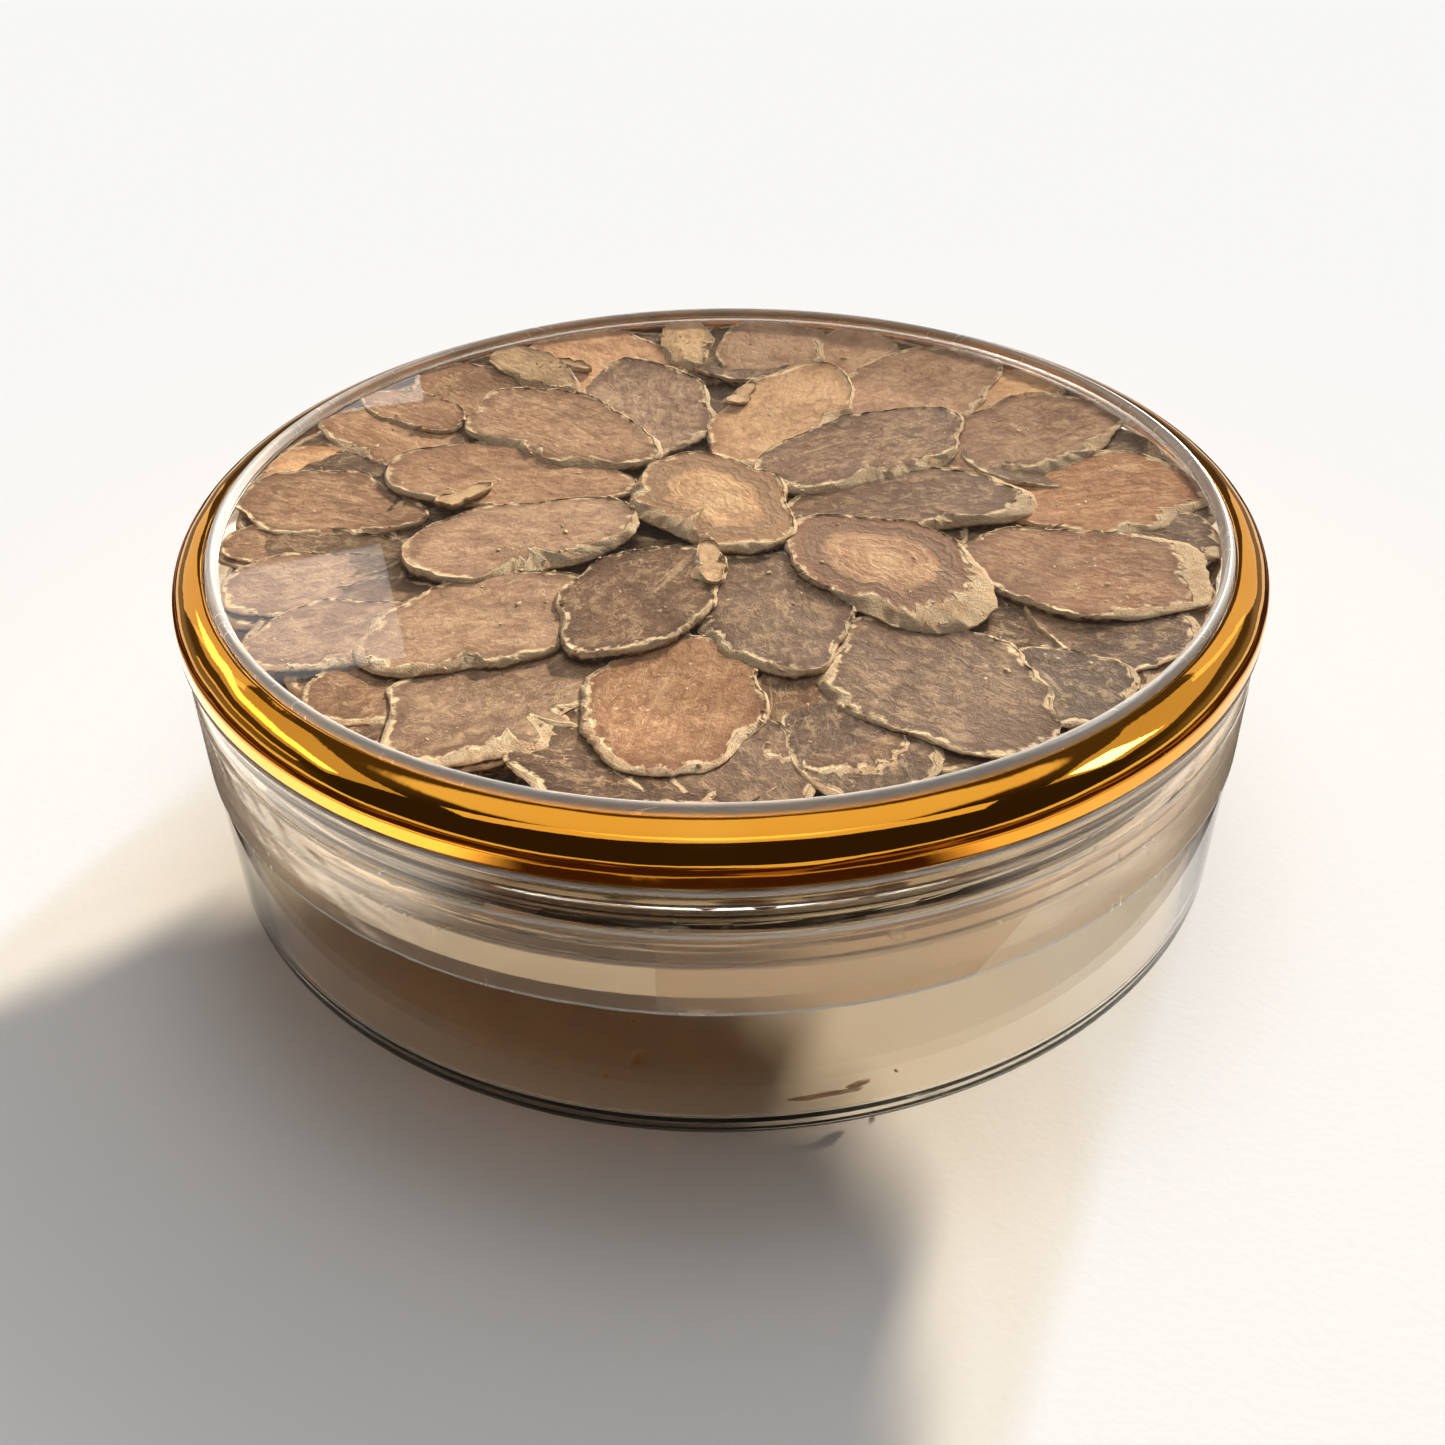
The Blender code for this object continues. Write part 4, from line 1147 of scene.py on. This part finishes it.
def makeWorld():
    world = bpy.data.worlds.new("studio")
    scene.world = world
    tree = emptyTree(world)
    # A bright ceiling that leans to the back, dim walls, and a pale horizon at the back alone.
    ray = addNode(tree, "TexCoord").outputs["Generated"]
    leaning = addNode(tree, "VectorMath", {0: ray, 1: (0.0, 0.174, 0.985)}, operation="DOT_PRODUCT")
    split = addNode(tree, "SeparateXYZ", {0: ray}).outputs
    back = spread(tree, split["Y"], -0.3, 0.3)
    above = spread(tree, leaning.outputs["Value"], 0.85, 0.89)
    low = times(tree, spread(tree, split["Z"], 0.26, 0.10), back)
    color = mixColor(tree, calc(tree, "MAXIMUM", above, low), studio["wallColor"], studio["skyColor"])
    strength = spread(tree, back, 0.0, 1.0, studio["frontWall"], studio["wall"])
    strength = calc(tree, "MULTIPLY_ADD", above, studio["ceiling"] - studio["wall"], strength)
    strength = calc(tree, "MULTIPLY_ADD", low, studio["horizon"] - studio["wall"], strength)
    sky = addNode(tree, "Background", {"Color": color, "Strength": strength})
    # Seen directly, or low through the clear pieces, it is as pale as the far floor.
    path = addNode(tree, "LightPath").outputs
    through = times(tree, path["Is Transmission Ray"], spread(tree, split["Z"], 0.35, 0.25))
    seen = calc(tree, "MAXIMUM", path["Is Camera Ray"], through)
    pale = addNode(tree, "Background", {"Color": studio["farFloor"], "Strength": 1.0})
    mixSurface(tree, addNode(tree, "OutputWorld"), seen, sky, pale)


view = dict(lens=39.9, sensor=36, place=(0, -0.2005, 0.1523), tilt=54.25, roll=-0.9)


def makeCamera():
    camera = addObject("camera", bpy.data.cameras.new("camera"))
    camera.data.lens, camera.data.sensor_width, camera.data.clip_start = view["lens"], view["sensor"], 0.01
    camera.location = view["place"]
    camera.rotation_mode = "QUATERNION"
    tilt = Euler((math.radians(view["tilt"]), 0, 0)).to_quaternion()
    camera.rotation_quaternion = tilt @ Quaternion((0, 0, 1), math.radians(view["roll"]))
    scene.camera = camera


makeFloor()
addPaintedReflectionRing()
addLights()
makeWorld()
makeCamera()
scene.view_settings.view_transform = "Standard"
scene.cycles.max_bounces = 24
scene.cycles.transmission_bounces = 20
scene.cycles.transparent_max_bounces = 40
print("stage made")
